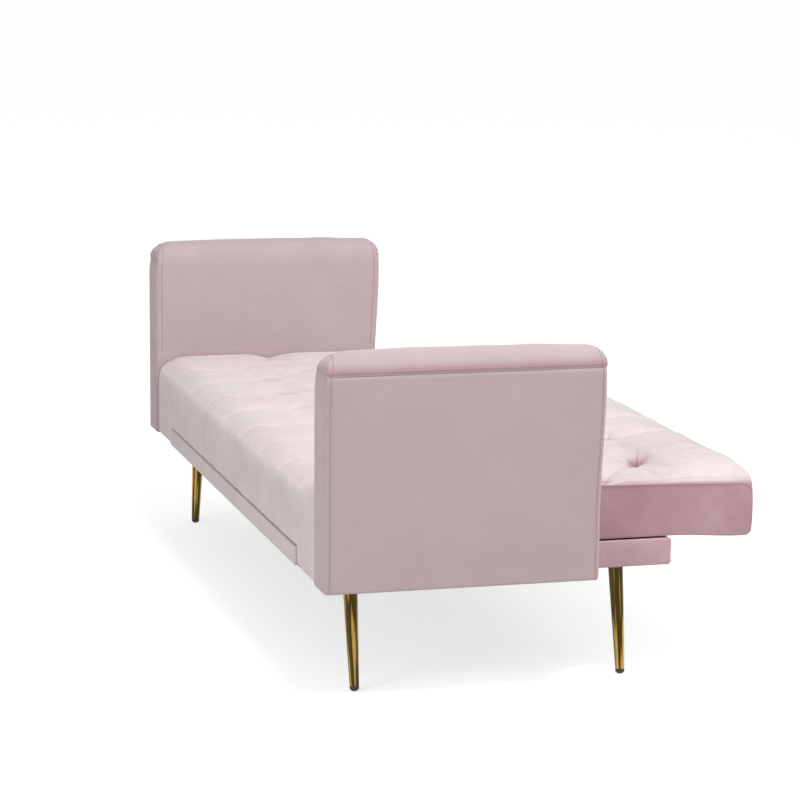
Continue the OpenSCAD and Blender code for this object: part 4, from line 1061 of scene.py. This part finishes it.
def makeGrained(name):
    material, tree, shader = newMaterial(name)
    first, second, grain, blend, rough, relief, metallic = grains[name]
    height = noise(tree, objectPlace(tree), *grain)
    colour = mixColour(tree, mapRange(tree, height, *blend), srgb(*first), srgb(*second))
    if isinstance(rough, tuple):
        rough = mapRange(tree, height, 0.3, 0.7, *rough)
    connect(tree, shader, {"Base Color": colour, "Normal": bump(tree, height, *relief), "Roughness": rough,
                           "Metallic": metallic})
    return material


threadMaterial = makeThread()
slotMaterials = {
    "velvet": armVelvet, "frame_wood": makeWood(), "gold_metal": makeBrass(),
    "dust_cloth": makeGrained("dustCloth"), "felt": makeGrained("springFelt"),
    "foam": makeGrained("seatFoam"), "black_tip": makeGrained("blackTip"),
    "steel": makeGrained("zincSteel"), "spring_steel": makeGrained("springSteel"),
}


def paint(piece, material):
    if not piece.material_slots:
        piece.data.materials.append(material)
    for place in piece.material_slots:
        place.material = material


def keepValues(piece, name, values):
    attribute = piece.data.attributes.new(name, "FLOAT", "POINT")
    attribute.data.foreach_set("value", np.ascontiguousarray(values, dtype=np.float32))


# strengths of the painted marks: painted shade in the tuft hollows, along the pleats, under the arm roll and
# in the corner pucker creases; the end values give the end panels' pinker tone
marks = {
    "tuftShadeReach": 0.021, "pleatShadeAmount": 0.24, "pleatShadeReach": 0.0040,
    "endPink": 0.68, "endBlotch": 0.05, "endSmall": 0.025, "besideSeam": 0.52, "besideHeight": 0.006,
    "underRollShade": 0.40, "overRoll": 0.07, "corner": 0.9,
}


def marksOfCushion(piece, v, rows, openEdge):
    # where the velvet is painted pinker: painted shade in the tuft hollows and along the pleats, and the end
    # panels' pinker tone on the end faces and just above their seams
    tufts, lines = tuftPlan(rows, True, openEdge, v["creaseAt"], v["high"][0])
    p = points(piece)
    x, y, z = p[:, 0], p[:, 1], p[:, 2]
    up = ease((pointNormals(piece)[:, 2] + 0.1) / 0.5)
    above = z - sideHeight(v, y)
    side = v["high"][0] - np.abs(x)
    ends = ease((0.006 - side) / 0.002) * ease((-above - 0.0020) / 0.003)
    beside = marks["besideSeam"] * np.exp(-np.clip(above, 0, 1) / marks["besideHeight"])
    beside = beside * ease((0.03 - side) / 0.02) * ease((above + 0.006) / 0.003)
    blotches = (marks["endPink"] + marks["endBlotch"] * ripple(y, z * 1.3, 0.20, 9)
                + marks["endSmall"] * ripple(y, z, 0.060, 4))
    reach, which, turn = nearTufts(x, y, tufts)
    gap, along = nearLines(x, y, lines)
    # painted shade along the sewn pleats and in the tuft hollows, on upward faces only
    pleat = marks["pleatShadeAmount"] * np.exp(-gap / marks["pleatShadeReach"]) * (0.3 + 0.7 * np.exp(-along / 0.05))
    hollow = v["tuftPaintedShade"] * np.exp(-(reach / marks["tuftShadeReach"]) ** 2) + pleat
    fold = np.maximum(hollow * up, beside) * (1 - ends) + ends * blotches
    pucker = 0.5 * np.exp(-reach / 0.018) + 0.25 * np.exp(-gap / 0.006)
    keepValues(piece, "fold", np.clip(fold, 0, 1))
    keepValues(piece, "pucker", np.clip(pucker, 0, 1) * up * (1 - ends))


marksOfCushion(seatCushion, seat, tufting["seatRows"], seat["low"][1] - 0.01)
marksOfCushion(backCushion, back, tufting["backRows"], back["high"][1] + 0.01)


def marksOfArm(piece, side):
    # painted shade: pinker on the lower part of the roll and in the pucker creases at the corners, with a
    # faint pinker tint over the whole roll; gathered along the seams
    v = arm
    p = points(piece)
    normal = pointNormals(piece)
    z = p[:, 2]
    onOutside = ease((normal[:, 0] * side - 0.1) / 0.4)
    fromEnd = np.minimum(p[:, 1] - v["front"], v["rear"] + flareOf(z) - p[:, 1])
    above = z - v["seamHeight"]
    # painted shade just above the seam on the lower part of the roll, and in the creases of the corner
    # puckers
    under = ease((above - 0.001) / 0.003) * (1 - ease((z - v["puckerAt"]) / 0.020)) * onOutside
    over = ease(above / 0.004) * onOutside
    corner = puckers(z) * ease((np.abs(normal[:, 1]) - 0.4) / 0.3) * puckerFolds(np.abs(p[:, 0]), z)
    fold = marks["underRollShade"] * under + marks["overRoll"] * over + marks["corner"] * corner
    alongEnd = np.exp(-np.abs(fromEnd - 0.010) / 0.006) * ease((z - 0.52) / 0.10)
    alongRoll = 0.5 * np.exp(-np.abs(z - 0.662) / 0.008) * onOutside
    keepValues(piece, "fold", np.clip(fold, 0, 1))
    keepValues(piece, "pucker", np.clip(np.maximum(alongEnd, alongRoll), 0.04, 1))


marksOfArm(rightArmCover, 1)
marksOfArm(leftArmCover, -1)

# every CAD node that stays gets its material from its slot

for part in frame["record"]["subparts"]:
    paint(frame["nodes"][part["node"]], slotMaterials[part["material_slot"]])

for piece, material in (
        (seatCushion, cushionVelvet), (backCushion, cushionVelvet), (rightArmCover, armVelvet),
        (leftArmCover, armVelvet), (baseWrapPiece, baseVelvet), (frontStrip, stripVelvet)):
    paint(piece, material)
for piece in (rightArmSeams, rightArmStitches, leftArmSeams, leftArmStitches, backSeams, backStitches):
    paint(piece, threadMaterial)

for piece in (seatCushion, rightArmCover, leftArmCover, rightArmSeams, rightArmStitches, leftArmSeams,
              leftArmStitches, baseWrapPiece, frontStrip):
    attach(piece, "base")
for piece in (backCushion, backSeams, backStitches):
    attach(piece, "back")
print("materials given")


# floor, lights and camera

studio = {
    "floorHalf": 30.0, "floorColour": (0.66, 0.66, 0.66, 1.0), "whiteLift": 0.66, "worldLevel": 0.50,
    # where each lamp stands, what it points at, its size and its power
    "keySoftbox": ((1.9, 0.4, 4.0), (0.0, 0.0, 0.4), 1.5, 99.0),
    "frontSoftbox": ((3.2, -4.5, 1.9), (0.3, -0.2, 0.4), 2.4, 84.0),
    "backSoftbox": ((1.6, 3.6, 2.4), (0.3, 0.2, 0.4), 1.8, 54.0),
}


def seenRays(tree):
    # what the camera sees directly, in a mirror or through glass
    path = tree.nodes.new("ShaderNodeLightPath")
    seen = maths(tree, "MAXIMUM", path.outputs["Is Camera Ray"], path.outputs["Is Glossy Ray"])
    return maths(tree, "MAXIMUM", seen, path.outputs["Is Transmission Ray"])


def makeFloor():
    deselectAll()
    bpy.ops.mesh.primitive_plane_add(size=2 * studio["floorHalf"], location=(0, 0, 0))
    floor = bpy.context.active_object
    floor.name = "studioFloor"
    material = bpy.data.materials.new("paleFloor")
    material.use_nodes = True
    tree = material.node_tree
    tree.nodes.clear()
    plain = addNode(tree, "ShaderNodeBsdfDiffuse", {"Color": studio["floorColour"]})
    lift = maths(tree, "MULTIPLY", seenRays(tree), studio["whiteLift"])
    white = addNode(tree, "ShaderNodeEmission", {"Color": (1, 1, 1, 1), "Strength": lift})
    both = addNode(tree, "ShaderNodeAddShader", {0: plain.outputs["BSDF"], 1: white.outputs["Emission"]})
    addNode(tree, "ShaderNodeOutputMaterial", {"Surface": both.outputs["Shader"]})
    floor.data.materials.append(material)
    return floor


makeFloor()


def makeWorld():
    world = bpy.data.worlds.new("studioWorld")
    bpy.context.scene.world = world
    world.use_nodes = True
    tree = world.node_tree
    strength = mixValue(tree, seenRays(tree), studio["worldLevel"], 1.0)
    connect(tree, tree.nodes["Background"], {"Color": (1, 1, 1, 1), "Strength": strength})


makeWorld()


def areaLamp(name, place, target, size, power):
    data = bpy.data.lights.new(name, "AREA")
    data.shape = "SQUARE"
    data.size = size
    data.energy = power
    lamp = bpy.data.objects.new(name, data)
    bpy.context.scene.collection.objects.link(lamp)
    lamp.location = place
    lamp.rotation_euler = (Vector(target) - Vector(place)).to_track_quat("-Z", "Y").to_euler()
    return lamp


for lampName in ("keySoftbox", "frontSoftbox", "backSoftbox"):
    areaLamp(lampName, *studio[lampName])

lens = {
    "place": (6.2870, -1.7991, 1.6034), "right": (0.26507, 0.96419, 0.00842),
    "up": (-0.17182, 0.03864, 0.98437), "ahead": (-0.9488, 0.26237, -0.17591),
    "focalPixels": 2944.7, "frame": 800,
}
cameraData = bpy.data.cameras.new("photoCamera")
cameraData.sensor_width = 36.0
cameraData.lens = lens["focalPixels"] / lens["frame"] * 36.0
camera = bpy.data.objects.new("photoCamera", cameraData)
bpy.context.scene.collection.objects.link(camera)
turn = Matrix([[lens["right"][k], lens["up"][k], -lens["ahead"][k]] for k in range(3)])
camera.matrix_world = Matrix.Translation(lens["place"]) @ turn.to_4x4()
bpy.context.scene.camera = camera
bpy.context.scene.view_settings.view_transform = "Standard"
print("studio set")
